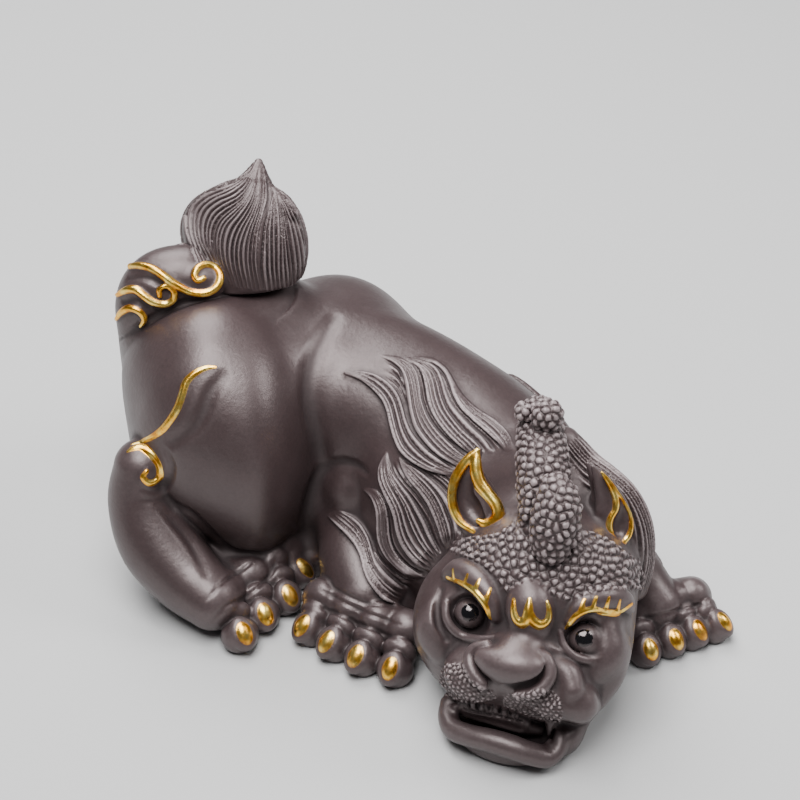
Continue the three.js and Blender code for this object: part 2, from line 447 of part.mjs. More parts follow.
function head() {
  blob([-0.6, 5, 6], [17.8, 17, 15.5], { k: 4, at: HEAD }); // skull
  blob([-2.2, -2, -9], [16.4, 16, 12], { k: 4, at: HEAD }); // jaw
  blob([9.4, -1.5, -2], [8.8, 11.5, 12], { k: 4, at: HEAD }); // cheeks
  blob([-15.2, -1, -2.5], [9, 12, 12.5], { k: 4, at: HEAD });
  blob([0, -12, 0], [10.5, 8.3, 7], { k: 3, at: HEAD }); // muzzle
  blob([7.2, -14, -2.6], [7.2, 6.2, 5], { k: 1.6, rz: -18, at: FACE }); // lip pads
  blob([-1.3, -10.8, -16], [13.4, 11.2, 6], { k: 2.5, at: HEAD }); // chin
  blob([12.1, -72.4, 25.5], [4.3, 4.3, 4.3], { k: 1.4, cut: true }); // eye sockets
  blob([34.3, -79.6, 26.1], [4.3, 4.3, 4.3], { k: 1.4, cut: true });
  run([[9.3, -64.1, 28.9, 1.5], [11.1, -64.8, 30.4, 2.3], [13.3, -67.6, 31.5, 2.6], [15.4, -70.6, 31.5, 2.5], [16.8, -72.9, 30.2, 2.1], [17.7, -74.5, 27.9, 1.3]], { k: 0.5 }); // brow pads
  run([[31.2, -77, 29.3, 1.2], [33, -75.6, 31.4, 2], [35.7, -74.2, 31.8, 2.3], [38.6, -72.7, 30.9, 2.4], [41, -71.5, 29.1, 2.2], [42.4, -70.8, 26.7, 1.4]], { k: 0.5 });
  blob([13.2, -69.9, 24.4], [2.9, 2.9, 2.9], { k: 0.25 }); // eyes
  blob([33.9, -77.1, 24.7], [2.9, 2.9, 2.9], { k: 0.25 });
  run([[23.9, -72.6, 33.6, 1.2], [23.9, -73.6, 32.4, 3.4], [24.1, -74.6, 30.8, 4.7], [24.3, -75.4, 29.1, 4.6], [24.4, -76.1, 27.3, 3.4]], { k: 0.35 }); // boss between the brows
  run([[24, -77, 24.8, 4.2], [22.4, -80.1, 23.2, 5.2], [21.2, -81.4, 22.3, 4.8]], { k: 1.8 }); // nose
  run([[15.6, -81.3, 23.6, 2.1], [17.7, -82.7, 24, 2.9], [20.5, -83.9, 24.3, 3.2], [23.4, -84.4, 24.3, 2.8], [25, -84.2, 24.4, 2]], { k: 1.7 }); // its tip
  run([[14.2, -81, 23.1, 0.7], [14.4, -82.4, 21.9, 0.9], [15.5, -84, 20.7, 0.9], [17.1, -85.2, 20.1, 0.6]], { k: 0.6, cut: true }); // nostrils
  run([[25.8, -84.7, 24.7, 0.8], [25, -85.8, 23.6, 1.1], [23, -86.5, 22.4, 1.1], [20.6, -86.5, 21.4, 1], [18.6, -86, 20.8, 0.6]], { k: 0.6, cut: true });
  run([[16.1, -79.3, 25.4, 0.9], [13.8, -79, 23.8, 1.2], [12.8, -80.2, 22.3, 1.3], [13.5, -82.5, 20.9, 1.3], [15.1, -84, 19.9, 1.1]], { k: 0.4 }); // its wings
  run([[24.5, -81.9, 26.2, 0.9], [26.6, -83, 25.3, 1.2], [27.4, -84.9, 23.6, 1.2], [26.3, -86.3, 21.9, 1.2], [24, -87, 20.6, 1.1], [21.4, -86.8, 20, 0.8]], { k: 0.4 });
  run([[28.9, -82, 22.7, 1.4], [30.7, -82.8, 21, 2.5], [31.5, -85.1, 19.5, 2.2]], { k: 1.2 }); // cheek pad
  run([[38, -75.3, 23.6, 3.2], [37.8, -76.8, 21, 4.4], [36.3, -78.5, 18.9, 3.4]], { k: 1.6 }); // jowls
  run([[7.3, -68.8, 23.4, 2.4], [6.3, -70.1, 20.1, 3.4], [7.2, -71.6, 17.4, 2.6]], { k: 1.6 });
  run([[40.3, -75.5, 20.1, 2.6], [38.9, -77.7, 16.2, 3], [36.5, -78.9, 12.8, 3.1], [33.8, -78.8, 8.4, 3.2], [31.2, -82.1, 4.4, 2.9]], { k: 1.8 }); // side of the jaw
  run([[7.5, -66.8, 27.4, 0.7], [6.9, -69.3, 25.5, 0.8], [7.3, -71.8, 23.2, 0.8], [8.7, -73.4, 21, 0.6]], { k: 0.8, cut: true }); // crease beside the eye
  run([[8.7, -69.4, 26.1, 0.5], [8.7, -71.2, 24.2, 0.8], [10, -72.6, 22.5, 0.8], [12.3, -73.6, 21.6, 0.8], [14.8, -76, 23.5, 0.8], [17.3, -77.1, 25, 0.5]], { k: 0.45 }); // lower lids
  run([[29.4, -78.1, 27.2, 0.5], [30.2, -79.5, 25, 0.8], [32, -80.5, 23.4, 0.8], [34.8, -80.4, 22.3, 0.8], [37.3, -79.3, 22.6, 0.8], [39, -77.5, 23.9, 0.5]], { k: 0.45 });
  run([[9.4, -77.4, 6.4, 1.7], [12.4, -80.7, 8.4, 2.5], [17.1, -83.6, 9.5, 2.9], [22.1, -85.2, 9.2, 2.9], [26.7, -85.5, 8.3, 2.3]], { k: 0.6, cut: true }); // open mouth, three passes deep
  run([[9.5, -75.4, 4.4, 1.7], [12.5, -78.8, 6.4, 2.5], [17.2, -81.7, 7.5, 2.9], [22.3, -83.3, 7.1, 2.9], [26.8, -83.6, 6.3, 2.3]], { k: 0.6, cut: true });
  run([[9.5, -73.6, 2.5, 1.4], [12.6, -76.9, 4.5, 2.1], [17.3, -79.8, 5.7, 2.4], [22.4, -81.5, 5.3, 2.4], [27, -81.8, 4.4, 2]], { k: 0.6, cut: true });
  run([[14.7, -78.1, 6.2, 1], [18.7, -80.1, 6.7, 1.5], [22.8, -81.1, 6.1, 1.6], [26.2, -81.3, 5.3, 1.1]], { k: 0.5 }); // tongue
  run([[9.1, -74.4, 5.3, 1.5], [9.1, -77.1, 4.2, 1.9], [10.2, -80.1, 4, 2.1], [12.8, -82.6, 5, 2.1], [16.7, -84.7, 5.8, 2.2], [20.4, -86.1, 5.7, 2.3], [24.2, -87, 4.8, 2.2], [27.4, -86.9, 3.5, 1.9], [29.5, -85.8, 4.3, 1.5], [30.3, -84.1, 5.8, 1.2]], { k: 1.1 }); // lower lip
  EARS.forEach(ear);
  run([[26.4, -43, 49.5, 3.7], [26.5, -46.5, 48.2, 4.2], [26.7, -52, 46.4, 4.8], [26.9, -57, 44.3, 5], [27.3, -61, 41.4, 5], [27.9, -64, 38.1, 4]], { k: 1.2 }); // horn
  run([[28.6, -63.4, 49.2, 2.7], [28.7, -65.2, 47.2, 4], [28.4, -67.2, 43.9, 4.4], [27.7, -69, 40.1, 3.4]], { k: 0.5 }); // its front lobe
  run([[27.2, -58.9, 49.1, 0.5], [25.2, -61.2, 47.4, 0.8], [23.9, -62.9, 45, 0.9], [23.3, -64.2, 42.1, 0.9], [22.9, -65.1, 39.7, 0.6]], { k: 0.5, cut: true }); // the crease between them
  blob([27.5, -48, 54], [2.9, 2.9, 2.9], { k: 0.35 }); // the knobs on its end
  blob([23.1, -46, 53.1], [1.6, 1.6, 1.6], { k: 0.4 });
}

// ---------------------------------------------------------------------- mane
// tip, root, sway over the whole length, S-bend, half width
const LOCKS = [
  [[-11, -20.5, 43], [9.8, -41.2, 34.8], 1, 2.2, 2.3],
  [[-3.4, -17.9, 44.8], [12.2, -37.6, 37.8], 0.9, 1.3, 2.2],
  [[2.8, -18.4, 44.2], [19.7, -37.1, 38.9], -0.7, 0.8, 2.1],
  [[-2.9, -34.9, 33.3], [5.4, -49.5, 19.5], -0.6, -0.5, 2.4],
  [[0, -37.9, 33.8], [8.9, -49.5, 24.5], 1.4, 0.1, 1.9],
  [[-7.3, -35.3, 25], [3.5, -50.5, 13], 0.4, 2.3, 1.8],
  [[-12.8, -35, 18.3], [-0.4, -51.2, 9], 1.1, 0.8, 1.6],
  [[-14.2, -35.4, 17.5], [-5.5, -49.4, 9], 0.6, 0.1, 1.3],
];
const FAR_LOCKS = [
  [[19.5, -6, 30], [32, -29, 29.5], -1, -1.8, 3],
  [[24.5, -11.5, 24], [37, -35, 25], -1, -1.8, 3],
  [[30, -19, 18], [43, -41, 19], -0.8, -1.6, 2.8],
  [[37, -27, 10], [47, -44, 11], -0.6, -1.2, 2.4],
];
function mane(list, n = 14, height = 1) {
  for (const [tip, root, sway, bend, w] of [...LOCKS, ...FAR_LOCKS]) {
    const nm = drape([add(add([0, 0, 0], tip, 0.5), root, 0.5)], list)[0].n;
    const side = unit(cross(nm, unit(sub(root, tip))));
    const path = [...Array(n + 1).keys()].map((i) => {
      const t = i / n;
      return add(add(tip, sub(root, tip), t), side, sway * Math.sin(Math.PI * t) + bend * Math.sin(2 * Math.PI * t));
    });
    const on = drape(path, list);
    const t = on.map((_, i) => i / n);
    band(
      on.map((o) => o.p),
      on.map((o) => o.n),
      t.map((v) => w * Math.min(1, 0.12 + 1.5 * v) * (1 - 0.12 * v)),
      t.map((v) => height * Math.min(1, 4 * v + 0.15) * Math.max(0, Math.min(1, (1.04 - v) * 5))),
    );
  }
}

trunk();
haunches();
feet();
tail();
creases();
mane([...masses]);
scrolls([...masses]);
blob(KNOB.c, KNOB.r, { k: 1.2 });
head();

// ------------------------------------------------- walking the zero surface
function walk() {
  const lo = [0, 1, 2].map((i) => Math.min(...masses.map((m) => m.lo[i])) - 3);
  const hi = [0, 1, 2].map((i) => Math.max(...masses.map((m) => m.hi[i])) + 3);
  lo[2] = -BELOW - 1.5 * CELL;
  const BLOCK = 7;
  const nb = [0, 1, 2].map((i) => Math.ceil((hi[i] - lo[i]) / (CELL * BLOCK)));
  const n = nb.map((v) => v * BLOCK + 1);
  const at = (i, j, k) => (k * n[1] + j) * n[0] + i;
  const D = new Float32Array(n[0] * n[1] * n[2]).fill(FAR);
  const half = (CELL * BLOCK) / 2,
    reach = half * Math.sqrt(3) + 1.5;
  for (let bk = 0; bk < nb[2]; bk++)
    for (let bj = 0; bj < nb[1]; bj++)
      for (let bi = 0; bi < nb[0]; bi++) {
        const c = [bi, bj, bk].map((b, q) => lo[q] + (b + 0.5) * CELL * BLOCK);
        const near = masses.filter((m) =>
          [0, 1, 2].every((q) => c[q] + half > m.lo[q] - m.k - 4 && c[q] - half < m.hi[q] + m.k + 4),
        );
        if (!near.length) continue;
        const mid = field(...c, near, 12);
        const skip = Math.abs(mid) > reach * 1.5;
        for (let k = 0; k <= BLOCK; k++)
          for (let j = 0; j <= BLOCK; j++)
            for (let i = 0; i <= BLOCK; i++) {
              const a = bi * BLOCK + i,
                b = bj * BLOCK + j,
                e = bk * BLOCK + k,
                z = lo[2] + e * CELL;
              const v = skip ? Math.sign(mid) * 9 : field(lo[0] + a * CELL, lo[1] + b * CELL, z, near, 3);
              const id = at(a, b, e),
                old = D[id],
                now = Math.max(v, -BELOW - z);
              D[id] = old === FAR || Math.abs(now) < Math.abs(old) ? now : old;
            }
      }
  // corners and edges in the order of the table
  const CORNER = [[0, 0, 0], [1, 0, 0], [1, 1, 0], [0, 1, 0], [0, 0, 1], [1, 0, 1], [1, 1, 1], [0, 1, 1]];
  const EDGE = [[0, 1], [1, 2], [2, 3], [3, 0], [4, 5], [5, 6], [6, 7], [7, 4], [0, 4], [1, 5], [2, 6], [3, 7]];
  const verts = [],
    faces = [],
    seen = new Map();
  const total = D.length;
  for (let k = 0; k < n[2] - 1; k++)
    for (let j = 0; j < n[1] - 1; j++)
      for (let i = 0; i < n[0] - 1; i++) {
        let bits = 0;
        for (let c = 0; c < 8; c++)
          if (D[at(i + CORNER[c][0], j + CORNER[c][1], k + CORNER[c][2])] < 0) bits |= 1 << c;
        if (bits === 0 || bits === 255) continue;
        for (let t = 0; triTable[bits * 16 + t] !== -1; t += 3) {
          const f = [0, 1, 2].map((q) => {
            const [p, r] = EDGE[triTable[bits * 16 + t + q]].map((c) => CORNER[c]);
            const A = at(i + p[0], j + p[1], k + p[2]),
              B = at(i + r[0], j + r[1], k + r[2]);
            const key = Math.min(A, B) * total + Math.max(A, B);
            if (!seen.has(key)) {
              const u = Math.min(0.97, Math.max(0.03, D[A] / (D[A] - D[B])));
              seen.set(key, verts.length);
              verts.push([0, 1, 2].map((x) => lo[x] + ([i, j, k][x] + p[x] + u * (r[x] - p[x])) * CELL));
            }
            return seen.get(key);
          });
          faces.push(f);
        }
      }
  const vol = faces.reduce((s, [a, b, c]) => s + dot(verts[a], cross(verts[b], verts[c])), 0);
  return { verts, faces: vol < 0 ? faces.map(([a, b, c]) => [a, c, b]) : faces };
}

// ------------------------------------------------------- thinning the skin
// Collapses the edges that cost the form least (squared distance to the planes
// of the faces they stand for) until the wanted number of triangles is left.
function thin({ verts, faces }, want) {
  const V = verts.map((v) => [...v]);
  const F = faces.map((f) => [...f]);
  const alive = new Uint8Array(F.length).fill(1);
  const ring = V.map(() => new Set());
  F.forEach((f, i) => f.forEach((v) => ring[v].add(i)));
  const Q = V.map(() => new Float64Array(10));
  const plane = (f) => {
    const [a, b, c] = f.map((v) => V[v]);
    const x = cross(sub(b, a), sub(c, a)),
      L = len(x);
    return L < 1e-12 ? null : { n: add([0, 0, 0], x, 1 / L), area: L / 2, a };
  };
  for (const f of F) {
    const p = plane(f);
    if (!p) continue;
    const q = [...p.n, -dot(p.n, p.a)];
    let s = 0;
    for (let i = 0; i < 4; i++)
      for (let j = i; j < 4; j++, s++) for (const v of f) Q[v][s] += p.area * q[i] * q[j];
  }
  const onBase = V.map((v) => Math.abs(v[2]) < 1e-5);
  const cost = (q, p) => {
    const [x, y, z] = p;
    return (
      q[0] * x * x + 2 * q[1] * x * y + 2 * q[2] * x * z + 2 * q[3] * x + q[4] * y * y +
      2 * q[5] * y * z + 2 * q[6] * y + q[7] * z * z + 2 * q[8] * z + q[9]
    );
  };
  const best = (a, b) => {
    const q = Q[a].map((v, i) => v + Q[b][i]);
    const options = [];
    if (onBase[a] === onBase[b]) {
      const [A, B, C, D, E, G, H] = [q[0], q[1], q[2], q[4], q[5], q[7], 0];
      const det = A * (D * G - E * E) - B * (B * G - E * C) + C * (B * E - D * C);
      if (!onBase[a] && Math.abs(det) > 1e-7) {
        const r = [-q[3], -q[6], -q[8]];
        const p = [
          (r[0] * (D * G - E * E) - B * (r[1] * G - E * r[2]) + C * (r[1] * E - D * r[2])) / det,
          (A * (r[1] * G - r[2] * E) - r[0] * (B * G - E * C) + C * (B * r[2] - r[1] * C)) / det,
          (A * (D * r[2] - E * r[1]) - B * (B * r[2] - C * r[1]) + r[0] * (B * E - C * D)) / det,
        ];
        const mid = add(add([0, 0, 0], V[a], 0.5), V[b], 0.5);
        if (len(sub(p, mid)) < 1.5 * len(sub(V[a], V[b])) && p[2] > 0.02) options.push(p);
      }
      options.push(add(add([0, 0, 0], V[a], 0.5), V[b], 0.5));
    }
    if (onBase[a] || onBase[a] === onBase[b]) options.push(V[a]);
    if (onBase[b] || onBase[a] === onBase[b]) options.push(V[b]);
    let out = null;
    for (const p of options) {
      const c = cost(q, p) + 1e-5 * dot(sub(V[a], V[b]), sub(V[a], V[b]));
      if (!out || c < out.c) out = { c, p };
    }
    return out;
  };
  // a heap of edges, each with the state its ends had when it was priced
  const state = new Uint32Array(V.length);
  const heap = [];
  const up = (i) => {
    while (i > 0) {
      const p = (i - 1) >> 1;
      if (heap[p].c <= heap[i].c) break;
      [heap[p], heap[i]] = [heap[i], heap[p]];
      i = p;
    }
  };
  const push = (a, b) => {
    const o = best(a, b);
    heap.push({ c: o.c, p: o.p, a, b, sa: state[a], sb: state[b] });
    up(heap.length - 1);
  };
  const pop = () => {
    const top = heap[0],
      last = heap.pop();
    if (heap.length) {
      heap[0] = last;
      let i = 0;
      for (;;) {
        const l = 2 * i + 1,
          r = l + 1;
        let m = i;
        if (l < heap.length && heap[l].c < heap[m].c) m = l;
        if (r < heap.length && heap[r].c < heap[m].c) m = r;
        if (m === i) break;
        [heap[m], heap[i]] = [heap[i], heap[m]];
        i = m;
      }
    }
    return top;
  };
  const around = (v) => {
    const s = new Set();
    for (const f of ring[v]) for (const w of F[f]) if (w !== v) s.add(w);
    return s;
  };
  for (const f of F) for (const [a, b] of [[0, 1], [1, 2], [2, 0]]) if (f[a] < f[b]) push(f[a], f[b]);
  let count = F.length;
  const fits = (v, other, p) => {
    for (const f of ring[v]) {
      if (F[f].includes(other)) continue;
      const old = F[f].map((w) => V[w]),
        now = F[f].map((w) => (w === v ? p : V[w]));
      const n0 = cross(sub(old[1], old[0]), sub(old[2], old[0])),
        n1 = cross(sub(now[1], now[0]), sub(now[2], now[0]));
      const a = len(n0),
        b = len(n1);
      if (b < 1e-6 || dot(n0, n1) < 0.3 * a * b) return false;
      const e = Math.max(len(sub(now[1], now[0])), len(sub(now[2], now[1])), len(sub(now[0], now[2])));
      if (b < 0.06 * e * e) return false;
    }
    return true;
  };
  while (count > want && heap.length) {
    const { a, b, p, sa, sb } = pop();
    if (state[a] !== sa || state[b] !== sb || !ring[a].size || !ring[b].size) continue;
    const na = around(a),
      nb = around(b);
    if (!na.has(b)) continue;
    let common = 0;
    for (const w of na) if (nb.has(w)) common++;
    if (common !== 2 || !fits(a, b, p) || !fits(b, a, p)) continue;
    V[a] = p;
    onBase[a] = onBase[a] || onBase[b];
    for (let i = 0; i < 10; i++) Q[a][i] += Q[b][i];
    for (const f of [...ring[b]]) {
      if (F[f].includes(a)) {
        alive[f] = 0;
        count--;
        for (const w of F[f]) ring[w].delete(f);
      } else {
        F[f] = F[f].map((w) => (w === b ? a : w));
        ring[a].add(f);
      }
    }
    ring[b].clear();
    state[a]++;
    state[b]++;
    for (const w of around(a)) push(Math.min(a, w), Math.max(a, w));
  }
  const used = new Map(),
    out = [];
  const keep = F.filter((_, i) => alive[i]).map((f) =>
    f.map((v) => {
      if (!used.has(v)) {
        used.set(v, out.length);
        out.push(V[v]);
      }
      return used.get(v);
    }),
  );
  return { verts: out, faces: keep };
}

// ------------------------------------------------------------- cut and finish
const wasm = await Module();
wasm.setup();
const solid = (verts, faces) =>
  new wasm.Manifold(
    new wasm.Mesh({ numProp: 3, vertProperties: new Float32Array(verts.flat()), triVerts: new Uint32Array(faces.flat()) }),
  );
function boxSolid(w, d, h, x, y, z) {
  const g = new THREE.BoxGeometry(w, d, h).translate(x, y, z),
    p = g.getAttribute("position"),
    seen = new Map(),
    verts = [],
    faces = [];
  const id = (i) => {
    const q = [p.getX(i), p.getY(i), p.getZ(i)],
      key = q.join();
    if (!seen.has(key)) {
      seen.set(key, verts.length);
      verts.push(q);
    }
    return seen.get(key);
  };
  for (let i = 0; i < g.index.count; i += 3) faces.push([0, 1, 2].map((q) => id(g.index.getX(i + q))));
  return solid(verts, faces);
}
const skin = walk();
const above = solid(skin.verts, skin.faces).intersect(boxSolid(400, 400, 200, 0, 0, 100));
const body = above.decompose().sort((a, b) => b.volume() - a.volume())[0];
const got = body.getMesh();
const cutVerts = [...Array(got.numVert).keys()].map((i) => [...got.vertProperties.slice(i * got.numProp, i * got.numProp + 3)]);
cutVerts.forEach((v) => {
  if (Math.abs(v[2]) < 1e-4) v[2] = 0;
});
const cutFaces = [...Array(got.numTri).keys()].map((i) => [...got.triVerts.slice(3 * i, 3 * i + 3)]);
const thinned = thin({ verts: cutVerts, faces: cutFaces }, TRIANGLES);

// turn to the part's frame, bring to the named length, width and height, and
// stand it on z = 0 about the middle of its box
const Z = turn(0, 0, TURN);
const turned = thinned.verts.map((v) => apply(Z, v));
const low = [0, 1, 2].map((i) => Math.min(...turned.map((v) => v[i])));
const high = [0, 1, 2].map((i) => Math.max(...turned.map((v) => v[i])));
const size = [WIDTH, LENGTH, HEIGHT];
const scale = [0, 1, 2].map((i) => size[i] / (high[i] - low[i]));
const placed = turned.map((v) =>
  [0, 1, 2].map((i) => (v[i] - (i < 2 ? (low[i] + high[i]) / 2 : low[i])) * scale[i]),
);
export const FIT = { turn: TURN, low, high, scale };

const geometry = new THREE.BufferGeometry();
geometry.setAttribute("position", new THREE.Float32BufferAttribute(placed.flat(), 3));
geometry.setIndex(thinned.faces.flat());
geometry.computeVertexNormals();
const clay = new THREE.MeshStandardMaterial({ color: 0x4a3b3a, roughness: 0.45, metalness: 0, flatShading: true });
const figure = new THREE.Mesh(geometry, clay);
figure.name = "pixiu_figure";
const group = new THREE.Group();
group.name = "pixiu";
group.add(figure);
export default group;
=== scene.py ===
"""A crouching pixiu figure moulded in dark clay with brushed gold lines: the fine sculpt, its materials, the floor, the lights and the camera.
The body is a distance field of blended ellipsoids, swept tubes and raised bands, turned into a mesh, with the finest relief moved along the normals."""
import math
from concurrent.futures import ThreadPoolExecutor
import numpy as np
import bpy
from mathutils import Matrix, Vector


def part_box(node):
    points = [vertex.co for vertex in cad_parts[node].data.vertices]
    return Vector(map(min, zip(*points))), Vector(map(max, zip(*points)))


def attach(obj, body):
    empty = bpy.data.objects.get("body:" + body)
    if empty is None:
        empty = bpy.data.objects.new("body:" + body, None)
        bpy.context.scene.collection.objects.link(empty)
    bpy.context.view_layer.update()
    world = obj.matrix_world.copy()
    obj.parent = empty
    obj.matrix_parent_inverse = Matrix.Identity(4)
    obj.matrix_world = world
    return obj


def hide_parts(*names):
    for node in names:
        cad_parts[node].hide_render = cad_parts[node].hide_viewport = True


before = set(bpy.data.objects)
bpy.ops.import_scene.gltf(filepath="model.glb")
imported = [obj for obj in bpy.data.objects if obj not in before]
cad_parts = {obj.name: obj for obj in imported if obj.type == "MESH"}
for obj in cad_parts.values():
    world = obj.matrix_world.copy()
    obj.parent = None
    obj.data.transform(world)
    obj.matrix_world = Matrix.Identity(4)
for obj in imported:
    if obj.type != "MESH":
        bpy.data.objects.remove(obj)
V=lambda *a: np.array(a,float)
def smin(a,b,k):
    h=np.maximum(k-np.abs(a-b),0.0)/k
    return np.minimum(a,b)-h*h*k*0.25
def rot(ax,deg):
    a=math.radians(deg); c,s=math.cos(a),math.sin(a)
    if ax=='x': return np.array([[1,0,0],[0,c,-s],[0,s,c]])
    if ax=='y': return np.array([[c,0,s],[0,1,0],[-s,0,c]])
    return np.array([[c,-s,0],[s,c,0],[0,0,1]])
def euler(rx=0,ry=0,rz=0): return rot('z',rz)@rot('y',ry)@rot('x',rx)
class Frame:
    """local->world: w = o + R l ; mirror: use |x| locally"""
    def __init__(s,o=(0,0,0),R=None,mirror=False,parent=None):
        R=np.eye(3) if R is None else R
        o=np.array(o,float)
        if parent is not None: o=parent.o+parent.R@o; R=parent.R@R
        s.o=o; s.R=R; s.mirror=mirror
    def to_local(s,P):
        Q=(P-s.o)@s.R
        if s.mirror: Q[:,0]=np.abs(Q[:,0])
        return Q
    def to_world(s,Q): return np.atleast_2d(Q)@s.R.T+s.o
WORLD=Frame()
def catmull(pts,n):
    pts=np.array(pts,float); m=len(pts)
    if m==2:
        t=np.linspace(0,1,n+1)[:,None]; return pts[0]*(1-t)+pts[1]*t
    ext=np.vstack([2*pts[0]-pts[1],pts,2*pts[-1]-pts[-2]])
    out=[]
    segs=m-1; per=max(1,int(round(n/segs)))
    for i in range(segs):
        p0,p1,p2,p3=ext[i:i+4]
        t=np.linspace(0,1,per,endpoint=False)[:,None]
        out.append(0.5*((2*p1)+(-p0+p2)*t+(2*p0-5*p1+4*p2-p3)*t*t+(-p0+3*p1-3*p2+p3)*t**3))
    out.append(ext[-2][None]); return np.vstack(out)
class Op:
    __slots__=('kind','k','lo','hi','f','name')
    def __init__(s,kind,k,lo,hi,f,name=''): s.kind,s.k,s.lo,s.hi,s.f,s.name=kind,k,np.array(lo,float),np.array(hi,float),f,name
def _aabb(fr,lo,hi):
    lo,hi=np.array(lo,float),np.array(hi,float)
    c=np.array([[x,y,z] for x in (lo[0],hi[0]) for y in (lo[1],hi[1]) for z in (lo[2],hi[2])])
    if fr.mirror: c=np.vstack([c,c*[-1,1,1]])
    w=fr.to_world(c); return w.min(0),w.max(0)
def ell_f(fr,c,r,R):
    c,r=np.array(c,float),np.array(r,float)
    def f(P):
        Q=fr.to_local(P)-c
        if R is not None: Q=Q@R
        k0=np.sqrt(((Q/r)**2).sum(1)); k1=np.sqrt(((Q/(r*r))**2).sum(1))+1e-9
        return k0*(k0-1.0)/k1
    return f
def seg_dist(Q,a,b,ra,rb):
    ab=b-a; L=ab@ab+1e-12
    t=np.clip(((Q-a)@ab)/L,0,1)
    D=Q-a-t[:,None]*ab
    return np.sqrt((D*D).sum(1))-(ra+(rb-ra)*t)
class Sculpt:
    def __init__(s): s.ops=[]; s.fr=WORLD
    def add(s,kind,k,lo,hi,f,name=''): s.ops.append(Op(kind,k,lo,hi,f,name))
    def ell(s,c,r,k=3,rx=0,ry=0,rz=0,R=None,kind='U',fr=None,name=''):
        fr=fr or s.fr
        RR=R if R is not None else (euler(rx,ry,rz) if (rx or ry or rz) else None)
        m=np.array(r,float)
        ext=np.abs(RR)@m if RR is not None else m
        lo,hi=_aabb(fr,np.array(c)-ext,np.array(c)+ext)
        s.add(kind,k,lo,hi,ell_f(fr,c,r,RR),name)
    def tube(s,pts,rad,k=3,n=None,flat=None,kind='U',fr=None,name='',ks=0):
        """swept round tube through pts with radii rad (same count)."""
        fr=fr or s.fr
        pts=np.array(pts,float); rad=np.array(rad,float)
        if rad.ndim==0: rad=np.full(len(pts),float(rad))
        n=n or (len(pts)-1)*6
        if len(pts)>2:
            X=catmull(np.column_stack([pts,rad]),n)
        else: X=np.column_stack([pts,rad])
        C,Rr=X[:,:3],np.maximum(X[:,3],0.02)
        lo=(C-Rr[:,None]).min(0); hi=(C+Rr[:,None]).max(0)
        lo,hi=_aabb(fr,lo,hi)
        fl=1.0
        if flat is not None:
            nn=np.array(flat[0],float); nn/=np.linalg.norm(nn); fl=flat[1]
            M=np.eye(3)+(fl-1)*np.outer(nn,nn); C2=C@M.T
        def f(P):
            Q=fr.to_local(P)
            if flat is not None: Q=Q@M.T
            CC=C2 if flat is not None else C
            d=None
            for i in range(len(CC)-1):
                v=seg_dist(Q,CC[i],CC[i+1],Rr[i],Rr[i+1])
                d=v if d is None else np.minimum(d,v)
            return d/(fl**0.5)
        s.add(kind,k,lo,hi,f,name)
    def ribbon(s,C,N,w,h,grooves=0,gd=0.0,edge=2.0,reach=3.0,name='',cut=0.0):
        """raised band along the polyline C (surface points, outward normals N), half width w(t), height h(t)"""
        C=np.array(C,float); N=np.array(N,float); w=np.array(w,float); h=np.array(h,float)
        n=len(C)-1; T=np.diff(C,axis=0); Ls=np.linalg.norm(T,axis=1); T=T/Ls[:,None]
        Nm=(N[:-1]+N[1:])/2; B=np.cross(T,Nm); B/=np.linalg.norm(B,axis=1)[:,None]
        pad=w.max()+0.5
        lo=C.min(0)-pad; hi=C.max(0)+pad
        def f(P):
            best=np.full(len(P),1e9); U=np.zeros(len(P)); H=np.zeros(len(P)); W=np.ones(len(P))
            for i in range(n):
                D=P-C[i]; t=D@T[i]/Ls[i]; tc=np.clip(t,0,1)
                D2=D-(tc*Ls[i])[:,None]*T[i]; d=(D2*D2).sum(1); m=d<best
                if not m.any(): continue
                best[m]=d[m]; U[m]=(D2[m]@B[i]); ww=w[i]+(w[i+1]-w[i])*tc[m]; W[m]=ww; H[m]=h[i]+(h[i+1]-h[i])*tc[m]
                ov=np.abs(t[m]-tc[m])*Ls[i]; H[m]*=np.clip(1-(ov/np.maximum(ww,0.3))**2,0,1)
            u=np.clip(np.abs(U)/np.maximum(W,0.05),0,1)
            pr=(1-u**edge)
            pr=np.where(u<1,pr,0)*(best<(W+reach)**2)
            out=H*pr
            if grooves: 
                g=gd*np.abs(np.sin(np.pi*(grooves/2.0)*(U/np.maximum(W,0.3)+1)))**1.3
                out=out-(gd-g)*np.where(u<0.97,1,0)*np.clip(H*3,0,1)*np.clip(W/0.8,0,1)
            return out
        s.add('D',0.0,lo,hi,f,name)
    def disp(s,lo,hi,f,name='',fr=None):
        """d -= f(P): raise the surface by f (f positive raises)"""
        fr=fr or s.fr
        l,h=_aabb(fr,lo,hi); s.add('D',0.0,l,h,f,name)
    def plane(s,n,o,k=1,kind='I',name=''):
        n=np.array(n,float); n/=np.linalg.norm(n); o=np.array(o,float)
        s.add(kind,k,[-1e3]*3,[1e3]*3,lambda P:(P-o)@n,name)
def grad_at(ops,P,e=0.25):
    return np.stack([(field(P+np.eye(3)[k]*e,ops,4)-field(P-np.eye(3)[k]*e,ops,4)) for k in range(3)],-1)/(2*e)
def cast(ops,P,d,back=12.0,far=26.0):
    d=np.array(d,float); d/=np.linalg.norm(d); P=np.array(P,float)-d*back; t=np.zeros(len(P))
    for _ in range(60):
        v=field(P+t[:,None]*d,ops,4); t=np.minimum(t+np.clip(v*0.7,-1.0,2.5),far)
    P=P+t[:,None]*d; g=grad_at(ops,P); g/=np.linalg.norm(g,axis=1)[:,None]
    return P,g
